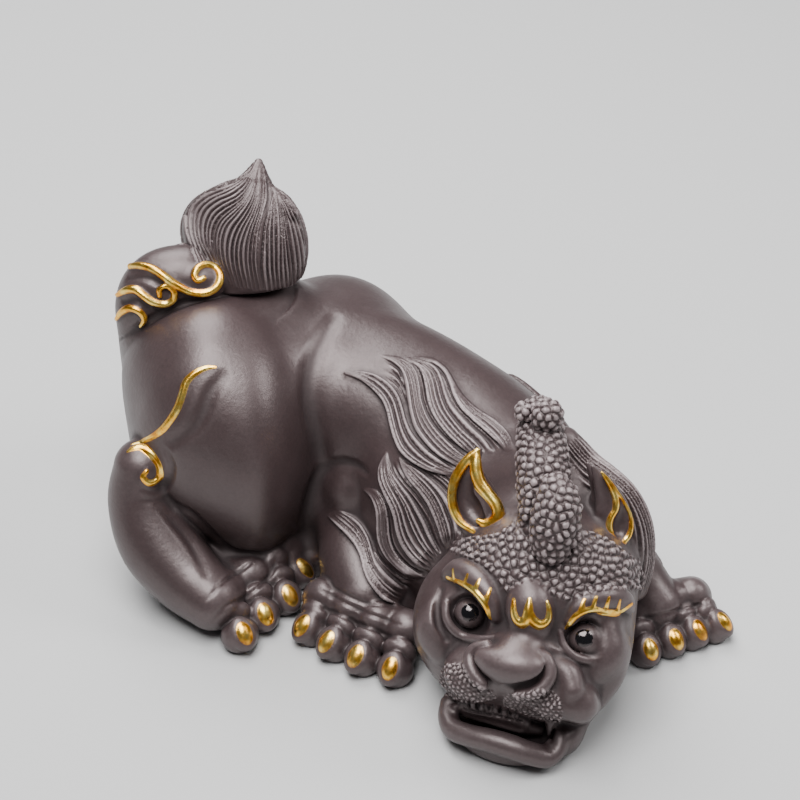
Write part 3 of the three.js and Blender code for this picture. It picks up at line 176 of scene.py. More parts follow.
def drape(ops,P,it=6,lift=0.0):
    P=np.array(P,float)
    for _ in range(it):
        d=field(P,ops,4); g=grad_at(ops,P); g2=np.maximum((g*g).sum(1),0.2)
        P=P-g*(np.clip(d,-2,2)/g2)[:,None]
    g=grad_at(ops,P); g/=np.linalg.norm(g,axis=1)[:,None]
    return P+g*lift,g
def field(P,ops,band):
    d=np.full(len(P),30.0)
    if not len(P): return d
    plo,phi=P.min(0),P.max(0)
    for op in ops:
        pad=op.k+band
        if (op.lo-pad>phi).any() or (op.hi+pad<plo).any(): continue
        m=((P>=op.lo-pad)&(P<=op.hi+pad)).all(1)
        idx=np.nonzero(m)[0]
        if not len(idx): continue
        v=op.f(P[idx]); a=d[idx]
        if op.kind=='U': d[idx]=smin(a,v,op.k) if op.k>0 else np.minimum(a,v)
        elif op.kind=='S': d[idx]=-smin(-a,v,op.k) if op.k>0 else np.maximum(a,-v)
        elif op.kind=='I': d[idx]=-smin(-a,-v,op.k) if op.k>0 else np.maximum(a,v)
        elif op.kind=='D': d[idx]=a-v
    return d
def grid_field(ops,lo,hi,h,workers=4,m1=3,m2=3):
    lo=np.array(lo,float); hi=np.array(hi,float)
    H=h*m1*m2; n=np.ceil((hi-lo)/H).astype(int)
    # coarse
    def centres(idx,step): return lo+(idx+0.5)*step
    I=np.stack(np.meshgrid(*[np.arange(k) for k in n],indexing='ij'),-1).reshape(-1,3)
    d=par(ops,centres(I,H),H*1.8,workers)
    sgn=np.full(n,1.0,np.float32); sgn.reshape(-1)[:]=np.where(d<0,-1,1)
    D=np.repeat(np.repeat(np.repeat(sgn,m1*m2,0),m1*m2,1),m1*m2,2)*np.float32(9.0)
    near=I[np.abs(d)<H*0.87+1.0]
    sub=np.stack(np.meshgrid(*[np.arange(m1)]*3,indexing='ij'),-1).reshape(-1,3)
    J=(near[:,None]*m1+sub[None]).reshape(-1,3); h2=h*m2
    d2=par(ops,centres(J,h2),h2*1.8+0.5,workers)
    keep=np.abs(d2)<h2*0.87+0.45
    # fill signs for skipped mid cells
    K=J[~keep]; s=np.where(d2[~keep]<0,-9,9).astype(np.float32)
    for a in range(m2):
        for b in range(m2):
            for c in range(m2):
                D[K[:,0]*m2+a,K[:,1]*m2+b,K[:,2]*m2+c]=s
    sub2=np.stack(np.meshgrid(*[np.arange(m2)]*3,indexing='ij'),-1).reshape(-1,3)
    F=(J[keep][:,None]*m2+sub2[None]).reshape(-1,3)
    d3=par(ops,centres(F,h),1.0,workers)
    D[F[:,0],F[:,1],F[:,2]]=d3.astype(np.float32)
    return D,lo+0.5*h,len(F)
def par(ops,P,band,workers):
    out=np.empty(len(P)); n=len(P)
    chunk=6000
    starts=list(range(0,n,chunk))
    def job(a):
        out[a:a+chunk]=field(P[a:a+chunk],ops,band)
    if workers>1:
        with ThreadPoolExecutor(workers) as ex: list(ex.map(job,starts))
    else:
        for a in starts: job(a)
    return out
def nets(D,o,h):
    """naive surface nets -> verts, quads"""
    S=D<0
    nx,ny,nz=D.shape
    c=S[:-1,:-1,:-1].astype(np.uint8)
    for a,b,e in ((1,0,0),(0,1,0),(0,0,1),(1,1,0),(1,0,1),(0,1,1),(1,1,1)):
        c=c+S[a:nx-1+a,b:ny-1+b,e:nz-1+e]
    act=np.nonzero((c>0)&(c<8)); A=np.stack(act,-1)
    vid=np.full((nx-1,ny-1,nz-1),-1,np.int32); vid[act]=np.arange(len(A))
    acc=np.zeros((len(A),3)); cnt=np.zeros(len(A))
    corners=[(a,b,e) for a in (0,1) for b in (0,1) for e in (0,1)]
    vals={q:D[A[:,0]+q[0],A[:,1]+q[1],A[:,2]+q[2]].astype(float) for q in corners}
    for p in corners:
        for ax in range(3):
            if p[ax]==0:
                q=list(p); q[ax]=1; q=tuple(q)
                u,v=vals[p],vals[q]; m=(u<0)!=(v<0)
                t=np.where(m,u/np.where(m,u-v,1),0)
                for k in range(3):
                    acc[:,k]+=np.where(m,p[k]+(t if k==ax else 0),0)
                cnt+=m
    Vv=o+h*(A+acc/cnt[:,None])
    quads=[]
    for ax in range(3):
        b,c2=(ax+1)%3,(ax+2)%3
        sl0=[slice(None)]*3; sl1=[slice(None)]*3
        sl0[ax]=slice(0,-1); sl1[ax]=slice(1,None)
        e=S[tuple(sl0)]!=S[tuple(sl1)]
        idx=np.stack(np.nonzero(e),-1)
        idx=idx[(idx[:,b]>0)&(idx[:,c2]>0)&(idx[:,b]<D.shape[b]-1)&(idx[:,c2]<D.shape[c2]-1)]
        ins=S[idx[:,0],idx[:,1],idx[:,2]]
        def at(db,dc):
            j=idx.copy(); j[:,b]-=db; j[:,c2]-=dc
            return vid[j[:,0],j[:,1],j[:,2]]
        q=np.stack([at(0,0),at(1,0),at(1,1),at(0,1)],-1)
        q[~ins]=q[~ins][:,::-1]
        quads.append(q)
    return Vv,np.vstack(quads)
def project(ops,Vv,h,it=1,band=1.2,workers=4):
    """to the surface, by values at the corners of a small tetrahedron; returns the points and the slope there"""
    e=h*0.3; K=np.array([[1,-1,-1],[-1,-1,1],[-1,1,-1],[1,1,1]],float)
    for _ in range(it):
        f=[par(ops,Vv+k*e,band,workers) for k in K]; g=sum(k*v[:,None] for k,v in zip(K,f))/(4*e); d=sum(f)/4
        g2=(g*g).sum(1)+1e-6; Vv=Vv-g*np.clip(d/g2,-h,h)[:,None]
    return Vv,g

# ---- the viewing camera of the modelling frame: azimuth 0, elevation 38 degrees, 500 mm from (0, 0, 20); the picture is 800 wide
EL=math.radians(38.0); TARGET=V(0,0,20); BACK=V(0,-math.cos(EL),math.sin(EL)); RIGHT=V(1,0,0); UP=np.cross(BACK,RIGHT); EYE=TARGET+500.0*BACK; FPX=2375.0
def rays(px):
    px=np.atleast_2d(np.array(px,float))
    d=-BACK+RIGHT*((px[:,:1]-400)/FPX)-UP*((px[:,1:2]-400)/FPX)
    return d/np.linalg.norm(d,axis=1)[:,None]
def to_px(P):
    P=np.atleast_2d(P)-EYE; z=-(P@BACK)
    return np.stack([400+FPX*(P@RIGHT)/z,400-FPX*(P@UP)/z],-1)
def sight(ops,px,near=400.0,far=600.0):
    """where the lines of sight through these picture points meet the surface, with the outward normals"""
    D=rays(px); t=np.full(len(D),near); act=np.arange(len(D))
    for _ in range(140):
        v=field(EYE+t[act,None]*D[act],ops,8); t[act]=np.minimum(t[act]+np.clip(v*0.85,-1.0,6.5),far)
        act=act[(np.abs(v)>0.004)&(t[act]<far)]
        if not len(act): break
    P=EYE+t[:,None]*D; g=grad_at(ops,P); g/=np.linalg.norm(g,axis=1)[:,None]+1e-9
    return P,g
def at_z(px,z):
    """the points at height z on the lines of sight through these picture points"""
    D=rays(px); return EYE+D*((z-EYE[2])/D[:,2])[:,None]
def at_y(px,y):
    D=rays(px); return EYE+D*((y-EYE[1])/D[:,1])[:,None]

# ---------------------------------------------------------------- the figure
unit=lambda v: np.array(v,float)/np.linalg.norm(v)
HO=(26.5,-66,19); HR=rot('z',-18)
HEAD=Frame(HO,HR); HEADM=Frame(HO,HR,mirror=True)

def sight_many(ops,sets):
    """several runs of picture points at once: [(points, normals), ...]"""
    P,N=sight(ops,np.vstack([np.array(x,float)[:,:2] for x in sets])); out=[]; a=0
    for x in sets: out.append((P[a:a+len(x)],N[a:a+len(x)])); a+=len(x)
    return out
def even(X,n):
    s=np.r_[0,np.cumsum(np.linalg.norm(np.diff(X[:,:2],axis=0),axis=1))]; u=np.linspace(0,s[-1],n+1)
    return np.column_stack([np.interp(u,s,X[:,k]) for k in range(X.shape[1])])
def line(S,ops,rows,lift=0.0,k=1.0,n=None,kind='U',name='',flat=None):
    """a tube seen through picture points: rows of (x, y, radius) laid on ops, its axis lift above the surface"""
    rows=np.array(rows,float); n=n or (len(rows)-1)*5
    X=catmull(rows,n) if len(rows)>2 else rows
    P,N=sight(ops,X[:,:2]); ok=np.linalg.norm(P-EYE,axis=1)<560; P,N,X=P[ok],N[ok],X[ok]
    S.tube(P+N*lift,X[:,2],k=k,n=len(P)-1,kind=kind,name=name,flat=flat)
    return P,N,X[:,2]

def trunk(S):
    S.tube([[-36,-6,27],[-24,-6,28.5],[-8.5,-9,27.5],[6,-17,25.3],[17.5,-28,23],[25,-43,20]],[19.5,20.5,19.2,18.4,18,16],k=0.1,n=60,name='spine')
    S.ell([-18,-10,12],[32,20,14],k=8,rz=-28,name='belly')
    S.ell([14,-34,12],[22,18,15],k=8,rz=-50,name='chest')
    S.ell([-4,-19,22],[15,13,20],k=5,rz=-20,name='flank')
    S.ell([33,-43,15],[8.5,11,16],k=6,name='shoulderL')
    S.ell([6,-33,20],[13,12,17],k=6,name='shoulderR')
def neckmass(S):
    rows=[(566,441,2.7,-44.0),(584,465,3.1,-46.5),(603,482,3.6,-49.5),(622,500,3.6,-52.0),(634,526,3.6,-53.5),(638,556,3.2,-54.0),(634,586,3.0,-54.0)]
    P=np.array([at_y([(x,y)],d)[0] for x,y,_,d in rows]); S.tube(P,[r for _,_,r,_ in rows],k=2.5,n=42,name='maneL'); S.sheet=catmull(np.column_stack([P,[r for _,_,r,_ in rows]]),42)
    S.ell([33,-46,27.5],[8.5,10,13],k=4,name='neckfill')
    S.ell([27,-44,30],[10,12,14],k=5,name='nape')
def hind(S):
    S.ell([-37.2,-16.4,28],[18,23,27.0],k=3,name='haunchR')
    S.ell([-29.6,-20,25],[12,22,25],k=5,name='haunchRfront')
    S.ell([-26,-10,36],[12,14,12],k=5,name='haunchRtop')
    S.ell([-43,-10,36],[13,15,15],k=5,name='rump')
    S.ell([-12.5,8,23.5],[17,15.5,20],k=8,rz=-30,name='haunchL')
    P=np.array([at_z([(x,y)],z)[0] for x,y,z in ((141,466,28),(142,500,20.5),(157,541,13.5),(184,575,9.0),(212,600,7.0))])
    S.tube(P,[5.6,7.0,7.9,7.2,6.0],k=1.1,n=48,name='shankR')
    P=np.array([at_z([(x,y)],z)[0] for x,y,z in ((150,498,24),(172,512,19.5),(192,532,14.5),(204,556,10))]); S.tube(P-BACK*1.2,[1.5,1.5,1.3,0.9],k=1.3,n=12,name='tendonR')
    S.ell(at_z([(312,549)],3)[0],[6,6,8],k=2,name='gapfill'); S.ell(at_z([(403,600)],3)[0],[6,6,7],k=2,name='gapfill')
    S.tube([[-19,15,18],[-9,18,9],[0,14,6]],[9,8,6.5],k=5,name='shankL')
    # elbow and forearm on the near side
    c=at_y([(343,512)],-25.5)[0]
    S.ell(c,[6.4,8.2,9.6],k=1.4,name='elbowR')
    p,n=sight(list(S.ops),[(344,500)]); S.ell(p[0]-n[0]*2.4,[4.8,4.8,6.6],k=2.0,name='elbowR')

def toe(S,K,C,w,name):
    """one toe: the knuckle and the claw are points on its upper surface"""
    d=C-K; d[2]=0; L=np.linalg.norm(d); d=d/L; up=np.array([0,0,1.0]); side=np.cross(-d,up)
    n=unit(d*0.70+up*0.72); b=np.cross(side,n); b=b*np.sign(b[2])
    R=np.column_stack([side,-d,up]); Rc=np.column_stack([np.cross(n,b),n,b])
    kb=K-BACK*3.2; 
    S.ell(kb,[w,0.44*L+0.5,3.9],k=0.55,R=R,name=name+'knuckle')
    tb=C-n*3.5
    S.ell(tb*0.6+kb*0.4+up*0.2,[w*0.95,2.3,3.6],k=0.4,R=R,name=name+'mid')
    S.ell(tb,[w,3.4,3.6],k=0.35,R=Rc,name=name+'tip')
    return n,Rc
def claw(S,C,n,Rc,s):
    S.ell(C-n*1.2,[2.3*s,1.5,3.1*s],k=0.5,R=Rc,name='cuff')
    S.ell(C+n*0.55,[1.85*s,1.15,2.6*s],k=0.25,R=Rc,kind='S',name='clawpit')
    c=C-n*0.75; r=np.array([1.45*s,1.35,2.25*s]); S.ell(c,r,k=0.12,R=Rc,name='claw')
    S.claws.append((WORLD,c,r,Rc))
PAWS=[('FR',[(322,598),(351,609),(378,620),(406,630)],[(301,625),(325.6,641),(354.7,656),(389.5,668)],8.6,5.0,3.75,1.14),
      ('FL',[(636,611),(657,604),(677,600),(695,597)],[(652,649),(678,639),(702,630),(727,621)],8.4,5.0,3.35,1.06),
      ('HR',[(224,592),(248,574),(268,560),(286,548)],[(244,633),(265,613.5),(290,595),(305,567)],9.0,5.4,3.85,1.14)]
def feet(S):
    S.claws=[]; cl=[]
    S.tube([[-6.6,-24.6,12],[-8.6,-36.9,9.5],[-6.9,-46,7]],[8,7.8,6.6],k=3,n=24,name='forearmR')
    S.tube([[41,-42,13],[47,-45,9],[51,-48.5,6.5]],[8.5,6.5,5.2],k=4,name='forearmL')
    for name,K,C,zk,zc,w,s in PAWS:
        K3,C3=at_z(K,zk),at_z(C,zc)
        m=(K3.mean(0)-BACK*4); S.tube(np.array([K3[0],K3[1],K3[2],K3[3]])-BACK*4.4+[0,0,-0.5],[4.2]*4,k=1.6,n=9,name=name+'palm')
        for k,c in zip(K3,C3): cl.append((c,)+toe(S,k,c,w,name)+(s,))
    S.ell(at_z([(232,566)],4)[0],[11,8,6.5],rz=-25,k=2.5,name='palmH2')
    for c,n,R,s in cl: claw(S,c,n,R,s)
    # the far hind paw, tucked under the far haunch
    fr=Frame((6,10,0),rot('z',40))
    for t in (-1.5,-0.5,0.5,1.5):
        f=Frame((t*6.2,0,0),rot('z',t*5),parent=fr); K=f.to_world([[0,6.5,8.4]])[0]; C=f.to_world([[0,-1.0,4.8]])[0]
        n,R=toe(S,K,C,3.3,'HL'); claw(S,C,n,R,0.92)
    S.ell([3,15,4],[11,6,5.5],rz=40,k=2,name='palmHL')
def tail(S):
    S.tube([[-51.9,-3.4,30],[-51,-6.8,42],[-50.6,-6.5,50],[-47.9,-6.6,54.5],[-43,-6,56],[-38.5,-5.6,55.5]],[5.6,6.2,6.6,6.7,6.2,4.6],k=1.2,n=50,name='tail')
    S.tail1=len(S.ops)
    S.ell([-29.2,-3.0,43.4],[11.2,12.5,9.8],k=4,name='tuftbase')
    ax=[[-31.2,-3.0,53.0],[-31.0,-1.8,56.4],[-30.9,0.8,60.0],[-29.7,5,66.5],[-28.3,9,73.0]]
    S.tube(ax,[9.6,11.4,11.9,5.4,0.9],k=0.35,n=24,flat=((0,0.93,-0.37),1.5),name='tuft')
    op=S.ops[-1]; whole=op.f; foot=lambda P: (54.2-0.26*(P[:,1]+9.7)+0.05*(P[:,0]+28)-P[:,2])*0.97
    op.f=lambda P: -smin(-whole(P),-foot(P),1.0)
    S.ell([-37.3,4.0,61],[6.4,4.8,7.2],k=3,name='tuftlobe'); S.tuft=ax
    q=at_y([(280.5,180)],5)[0]; S.tube([q-BACK*14,q+BACK*14],[1.75,1.75],k=0.5,kind='S',name='tuftnotch')
    tu=list(S.ops); line(S,tu,[(268,183,.5),(269,192,.75),(268,206,.6),(265,228,.45),(263,250,.3)],lift=0.15,k=0.5,kind='S',name='tuftsplit')
    line(S,tu,[(291,214,1.3),(284,203,1.2),(278,195,.95),(274,189,.5)],lift=-0.35,k=0.7,name='tufttip')

BROW_R=[(449,573,1.5),(459,570,2.3),(471,576,2.6),(483,587,2.5),(491,601,2.1),(496,616,1.3)]
BROW_L=[(571,620,1.2),(581,606,2.0),(596,599,2.3),(611,597,2.4),(623,600,2.2),(630,607,1.4)]
def head(S):
    S.fr=HEADM
    S.ell([-0.6,5,6],[17.8,17,15.5],k=4,fr=HEAD,name='skull')
    S.ell([-2.2,-2,-9],[16.4,16,12],k=4,fr=HEAD,name='jawbase')
    S.ell([9.4,-1.5,-2],[8.8,11.5,12.0],k=4,fr=HEAD,name='cheek')
    S.ell([-15.2,-1.0,-2.5],[9.0,12,12.5],k=4,fr=HEAD,name='cheek')
    S.ell([0,-12,0],[10.5,8.3,7.0],k=3,fr=HEAD,name='muzzle')
    S.ell([7.2,-14.0,-2.6],[7.2,6.2,5.0],k=1.6,rz=-18,name='pad')
    S.ell([-1.3,-10.8,-16],[13.4,11.2,6.0],k=2.5,fr=HEAD,name='chin')
    base=list(S.ops); S.base=base
    # sockets
    Pe,Ne=sight(base,[(467,616),(587,641)]); S.eyes=[]
    for p,n,sg in zip(Pe,Ne,(-1,1)):
        S.ell(p+n*0.9,[4.3,4.3,4.3],k=1.4,kind='S',fr=WORLD,name='socket')
    # brow pads
    S.fr=WORLD
    for rows in (BROW_R,BROW_L): line(S,base,rows,lift=-0.2,k=0.5,name='brow')
    for p,n,sg in zip(Pe,Ne,(-1,1)):
        c=p-n*2.3+BACK*0.3; S.ell(c,[2.9]*3,k=0.25,name='eyeball'); S.eyes.append((c,2.9))
    # boss between the brows
    line(S,base,[(529,586,1.2),(529,595,3.4),(530,607,4.7),(531,618,4.6),(532,627,3.4)],lift=-1.6,k=0.35,name='boss')
    # nose
    line(S,base,[(530,636,4.2),(522,650,5.2),(514,662,4.8)],lift=-2.3,k=1.8,name='bridge')
    line(S,base,[(488,659,2.1),(499,663,2.9),(514,666,3.2),(529,668,2.8),(537,667,2.0)],lift=0.9,k=1.7,name='nosetip')
    line(S,base,[(482,660,.7),(483,669,.95),(489,678,.9),(497,684,.6)],lift=1.3,k=0.6,kind='S',name='nostril')
    line(S,base,[(541,668,.8),(537,675,1.1),(527,681,1.15),(515,684,1.0),(505,684,.6)],lift=1.5,k=0.6,kind='S',name='nostril')
    line(S,base,[(491,647,.9),(480,651,1.2),(474,661,1.3),(477,673,1.3),(486,681,1.1)],lift=1.3,k=0.4,name='alaR')
    line(S,base,[(534,653,.9),(545,660,1.2),(549,672,1.2),(544,683,1.2),(532,689,1.1),(519,690,.8)],lift=1.2,k=0.4,name='alaL')
    # folds across the bridge and beside the nose
    line(S,base,[(500,637,.5),(520,640,.9),(545,647,.9),(562,652,.4)],lift=-0.1,k=0.8,name='fold')
    line(S,base,[(560,664,1.4),(570,674,2.5),(574,688,2.2)],lift=-0.7,k=1.2,name='cheekpad')
    line(S,base,[(614,638,3.2),(613,655,4.4),(603,672,3.4)],lift=-2.2,k=1.6,name='jowl')
    line(S,base,[(434,612,2.4),(428,632,3.4),(434,650,2.6)],lift=-1.5,k=1.6,name='jowl')
    line(S,base,[(624,652,2.6),(615,678,3.0),(600,697,3.1),(584,714,3.2),(571,735,2.9)],lift=-1.4,k=1.8,name='jawside')
    line(S,base,[(441,590,.7),(438,606,.8),(440,624,.8),(447,638,.6)],lift=0.35,k=0.8,kind='S',name='cheekcrease')
    line(S,base,[(447,604,.45),(447,618,.75),(454,630,.85),(466,637,.85),(480,639,.8),(494,637,.5)],lift=0.0,k=0.45,name='lidR')
    line(S,base,[(561,632,.45),(565,646,.75),(575,656,.85),(590,660,.85),(603,655,.75),(612,643,.45)],lift=0.0,k=0.45,name='lidL')
    # mouth
    upper=list(S.ops)
    rows=[(450,710,1.7),(462,714,2.4),(482,719,2.8),(503,725,2.9),(525,731,2.8),(544,734,2.3)]
    X=catmull(np.array(rows,float),20); P,N=sight(base,X[:,:2]); D=rays(X[:,:2])
    for dep in (-2.0,0.8,3.4): S.tube(P+D*dep,X[:,2]*(1.0 if dep<1 else .85),k=0.6,n=len(P)-1,kind='S',name='mouth')
    # upper gum and teeth
    row=[(466,705),(475,707),(485,709.5),(495,712),(505,715),(515,718),(524,721)]
    P,N=sight(base,row); D=rays(row)
    S.tube(P+D*3.2,[1.6]*len(P),k=0.5,name='gum')
    for i in range(1,6):
        S.ell(P[i]+D[i]*2.2-UP*0.1,[0.98,0.9,1.9],k=0.10,rz=-18,name='tooth')
    # tongue / lower gum
    row=[(461,706,.4),(465,713,.55),(476,717,.6),(490,721,.6),(506,726,.6),(522,731,.45)]
    X=catmull(np.array(row,float),16); P,N=sight(base,X[:,:2]); D=rays(X[:,:2]); S.tube(P+D*2.0,X[:,2],k=0.5,n=len(P)-1,name='lowergum')
    X=catmull(np.array([(478,713,1.0),(500,719,1.5),(522,725,1.6),(540,729,1.1)],float),12); P,N=sight(base,X[:,:2]); D=rays(X[:,:2]); S.tube(P+D*3.4,X[:,2],k=0.5,n=len(P)-1,name='tongue')
    S.grooves=[]; ops2=list(S.ops)
    for g in TEETH:
        P,N=sight(ops2,even(np.array(g,float),14) if len(g)==2 else catmull(np.array(g,float),40)); S.grooves.append((P,0.0))
    # fangs: upper and lower, at both corners
    for a,b,r in (((551,722),(549,736),1.1),((547,748),(551,738),0.9),((457,708),(456,718),1.0),((449,724),(450,714),0.8)):
        P,N=sight(base,[a,b]); D=rays([a,b]); S.tube(P+D*0.7,[r,0.15],k=0.3,name='fang')
    # lower lip
    line(S,base,[(449,703,1.5),(449,717,1.9),(455,729,2.1),(469,735,2.1),(490,740,2.2),(510,746,2.3),(530,753,2.2),(547,757,1.9),(558,750,1.5),(562,738,1.2)],lift=0.2,k=1.1,name='lowerlip')
    # ears
    ear(S,[14.2,-59.6,35],[14.2,-50.7,48],-1); ear(S,[41.6,-59.8,32],[36.5,-55,47],1)
    S.horn0=len(S.ops)
    rows=[(540,417,20,-43.0),(541,434,23,-46.5),(543,460,26,-52),(545,486,27,-57),(548,512,27,-61),(551,536,22,-64)]
    P=np.array([at_y([(x,y)],d)[0] for x,y,_,d in rows]); S.tube(P,[r/5.45 for _,_,r,_ in rows],k=1.2,n=15,name='horn')
    rows=[(557,488,15,-63.4),(558,503,22,-65.2),(556,524,24.5,-67.2),(552,546,19,-69.0)]
    P=np.array([at_y([(x,y)],d)[0] for x,y,_,d in rows]); S.tube(P,[r/5.55 for _,_,r,_ in rows],k=0.5,n=12,name='hornfront')
    line(S,list(S.ops),[(548,473,.45),(538,488,.75),(531,504,.9),(528,520,.9),(525,534,.6)],lift=0.2,k=0.5,kind='S',name='horncrease')
    S.ell(at_y([(548,415)],-48.0)[0],[2.9]*3,k=0.35,name='hornball'); S.ell(at_y([(524,412)],-46.0)[0],[1.6]*3,k=0.4,name='hornball')
    S.horn1=len(S.ops)
TEETH=[[(469.5,701),(470.5,711)],[(477,702),(478,712)],[(484.5,703.5),(485.5,713)],[(492.5,704.5),(493,714)],[(500.5,706),(501,716)],[(508.5,708),(508.5,718)],[(516,710.5),(516,719.5)],
 [(464,708.5),(472,711.5),(482,713),(493,714.5),(503,717),(512,719.5),(522,721)]]   # the gaps between the teeth, and the line below them
EARS={-1:dict(rims=[[(478,450,.45),(467,460,.75),(456.5,476.5,.85),(452.5,491,.8),(453,506,.75),(458,518,.7),(465,525,.6),(475,531,.4)],
              [(478,451,.4),(476.5,462,.9),(477,473,1.1),(481,484,1.1),(489,494,1.0),(496,503,1.0),(499,513,1.0),(494.5,520.5,.9),(486,523,.75),(479,520.5,.5)]],
              hol=[(473,466,.5),(467,480,1.4),(465,495,1.9),(471,508,2.2),(478,518,1.6)],body=[(478,450,.6),(468,470,2.3),(470,490,3.9),(475,508,4.7),(478,526,3.6),(484,540,3.0)]),
      1:dict(rims=[[(603,473,.2),(611,481,.24),(619,493,.26),(626,504,.28),(631,515,.32),(632,525,.4),(629.5,535,.5),(624,541.5,.55)],
              [(602,472,.25),(608,481,.45),(613,490,.55),(616.5,500,.6),(616,509,.6),(611.5,517,.55),(609.5,526,.6),(612,536,.62),(617,541.5,.62),(624,541.5,.55)]],
              hol=[(620,499,.3),(623,509,.9),(621,521,1.5),(620,530,1.4)],body=[(597,469,.5),(606,484,1.7),(613,500,2.6),(617,515,3.4),(617,530,3.6),(612,548,3.0)])}
def ear(S,base,tip,sg):
    b,t=np.array(base,float),np.array(tip,float); z=unit(t-b)
    n=np.array([0.25*sg,-0.8,0.6]); n=unit(n-z*(n@z))
    if sg>0: b=b+n*1.7
    def on(rows,k):
        X=catmull(np.array(rows,float),(len(rows)-1)*k); D=rays(X[:,:2]); q=((b-EYE)@n)/(D@n); return EYE+D*q[:,None],X[:,2]
    e=EARS[sg]
    P,r=on(e['body'],4); S.tube(P-n*1.5,r,k=1.2,n=len(P)-1,flat=(n,1.9),name='ear')
    if sg>0: S.tube(P-n*4.0,r*0.9,k=1.5,n=len(P)-1,flat=(n,1.2),name='earback')
    P,r=on(e['hol'],4)
    for dep in ((1.5,0.5) if sg<0 else (1.3,0.7)): S.tube(P+n*dep,r,k=0.4,n=len(P)-1,kind='S',name='earhollow')
    for q in e['rims']:
        P,r=on(q,4); r=r*(1.14 if sg<0 else 1.0); S.tube(P+n*0.15,r,k=0.25,n=len(P)-1,name='earrim'); S.gold.append((P+n*0.15,r+0.12))
class Relief:
    """heights drawn in the picture plane and laid on the surface that the viewer sees there"""
    def __init__(s,box,ss=3):
        s.box,s.ss=box,ss; s.H=np.zeros((int((box[3]-box[1])*ss)+2,int((box[2]-box[0])*ss)+2)); s.T=None
    def gate(s,ops,reach=3.5):
        x0,y0,x1,y1=s.box; s.gx=np.arange(x0-4,x1+5,4.0); s.gy=np.arange(y0-4,y1+5,4.0); s.reach=reach
        G=np.stack(np.meshgrid(s.gx,s.gy),-1).reshape(-1,2); P,_=sight(ops,G); s.T=np.linalg.norm(P-EYE,axis=1).reshape(len(s.gy),len(s.gx))
    def patch(s,lo,hi,fn,n=520,m=120,mode='max'):
        """a strip between two picture lines; fn(t along, f across) gives its height"""
        L,U=even(catmull(np.array(lo,float),60),n),even(catmull(np.array(hi,float),60),n)
        t=np.linspace(0,1,n+1)[:,None]; f=np.linspace(0,1,m+1)[None,:]
        X=L[:,None,:]*(1-f[...,None])+U[:,None,:]*f[...,None]; W=np.linalg.norm(U-L,axis=1)[:,None]+0*f
        Z=fn(t+0*f,f+0*t,W)
        ix=np.clip(np.rint((X[...,0]-s.box[0])*s.ss).astype(int),0,s.H.shape[1]-1); iy=np.clip(np.rint((X[...,1]-s.box[1])*s.ss).astype(int),0,s.H.shape[0]-1)
        N=np.full(s.H.shape,-9.0); np.maximum.at(N,(iy,ix),Z)
        for dy,dx in ((0,1),(0,-1),(1,0),(-1,0)):   # close pinholes
            M=np.roll(N,(dy,dx),(0,1)); N=np.where((N<-8)&(M>-8)&(np.roll(N,(-dy,-dx),(0,1))>-8),M,N)
        q=N>-8; s.H[q]=N[q] if mode=='set' else np.maximum(s.H[q],N[q])
    def soften(s,k=1):
        for _ in range(k):
            for ax in (0,1): s.H=(np.roll(s.H,1,ax)+2*s.H+np.roll(s.H,-1,ax))/4
    def __call__(s,P):
        q=to_px(P); u=(q[:,0]-s.box[0])*s.ss; v=(q[:,1]-s.box[1])*s.ss; hh,ww=s.H.shape
        ok=(u>0)&(v>0)&(u<ww-2)&(v<hh-2); u=np.clip(u,0,ww-2.001); v=np.clip(v,0,hh-2.001); i=u.astype(int); j=v.astype(int); fu,fv=u-i,v-j
        z=(s.H[j,i]*(1-fu)+s.H[j,i+1]*fu)*(1-fv)+(s.H[j+1,i]*(1-fu)+s.H[j+1,i+1]*fu)*fv
        z=np.where(ok,z,0)
        if s.T is not None:
            a=np.clip((q[:,0]-s.gx[0])/4,0,len(s.gx)-1.001); b=np.clip((q[:,1]-s.gy[0])/4,0,len(s.gy)-1.001); i=a.astype(int); j=b.astype(int); fa,fb=a-i,b-j
            T=(s.T[j,i]*(1-fa)+s.T[j,i+1]*fa)*(1-fb)+(s.T[j+1,i]*(1-fa)+s.T[j+1,i+1]*fa)*fb
            z=z*np.clip(1-(np.abs(np.linalg.norm(P-EYE,axis=1)-T)-s.reach)/1.5,0,1)
        return z
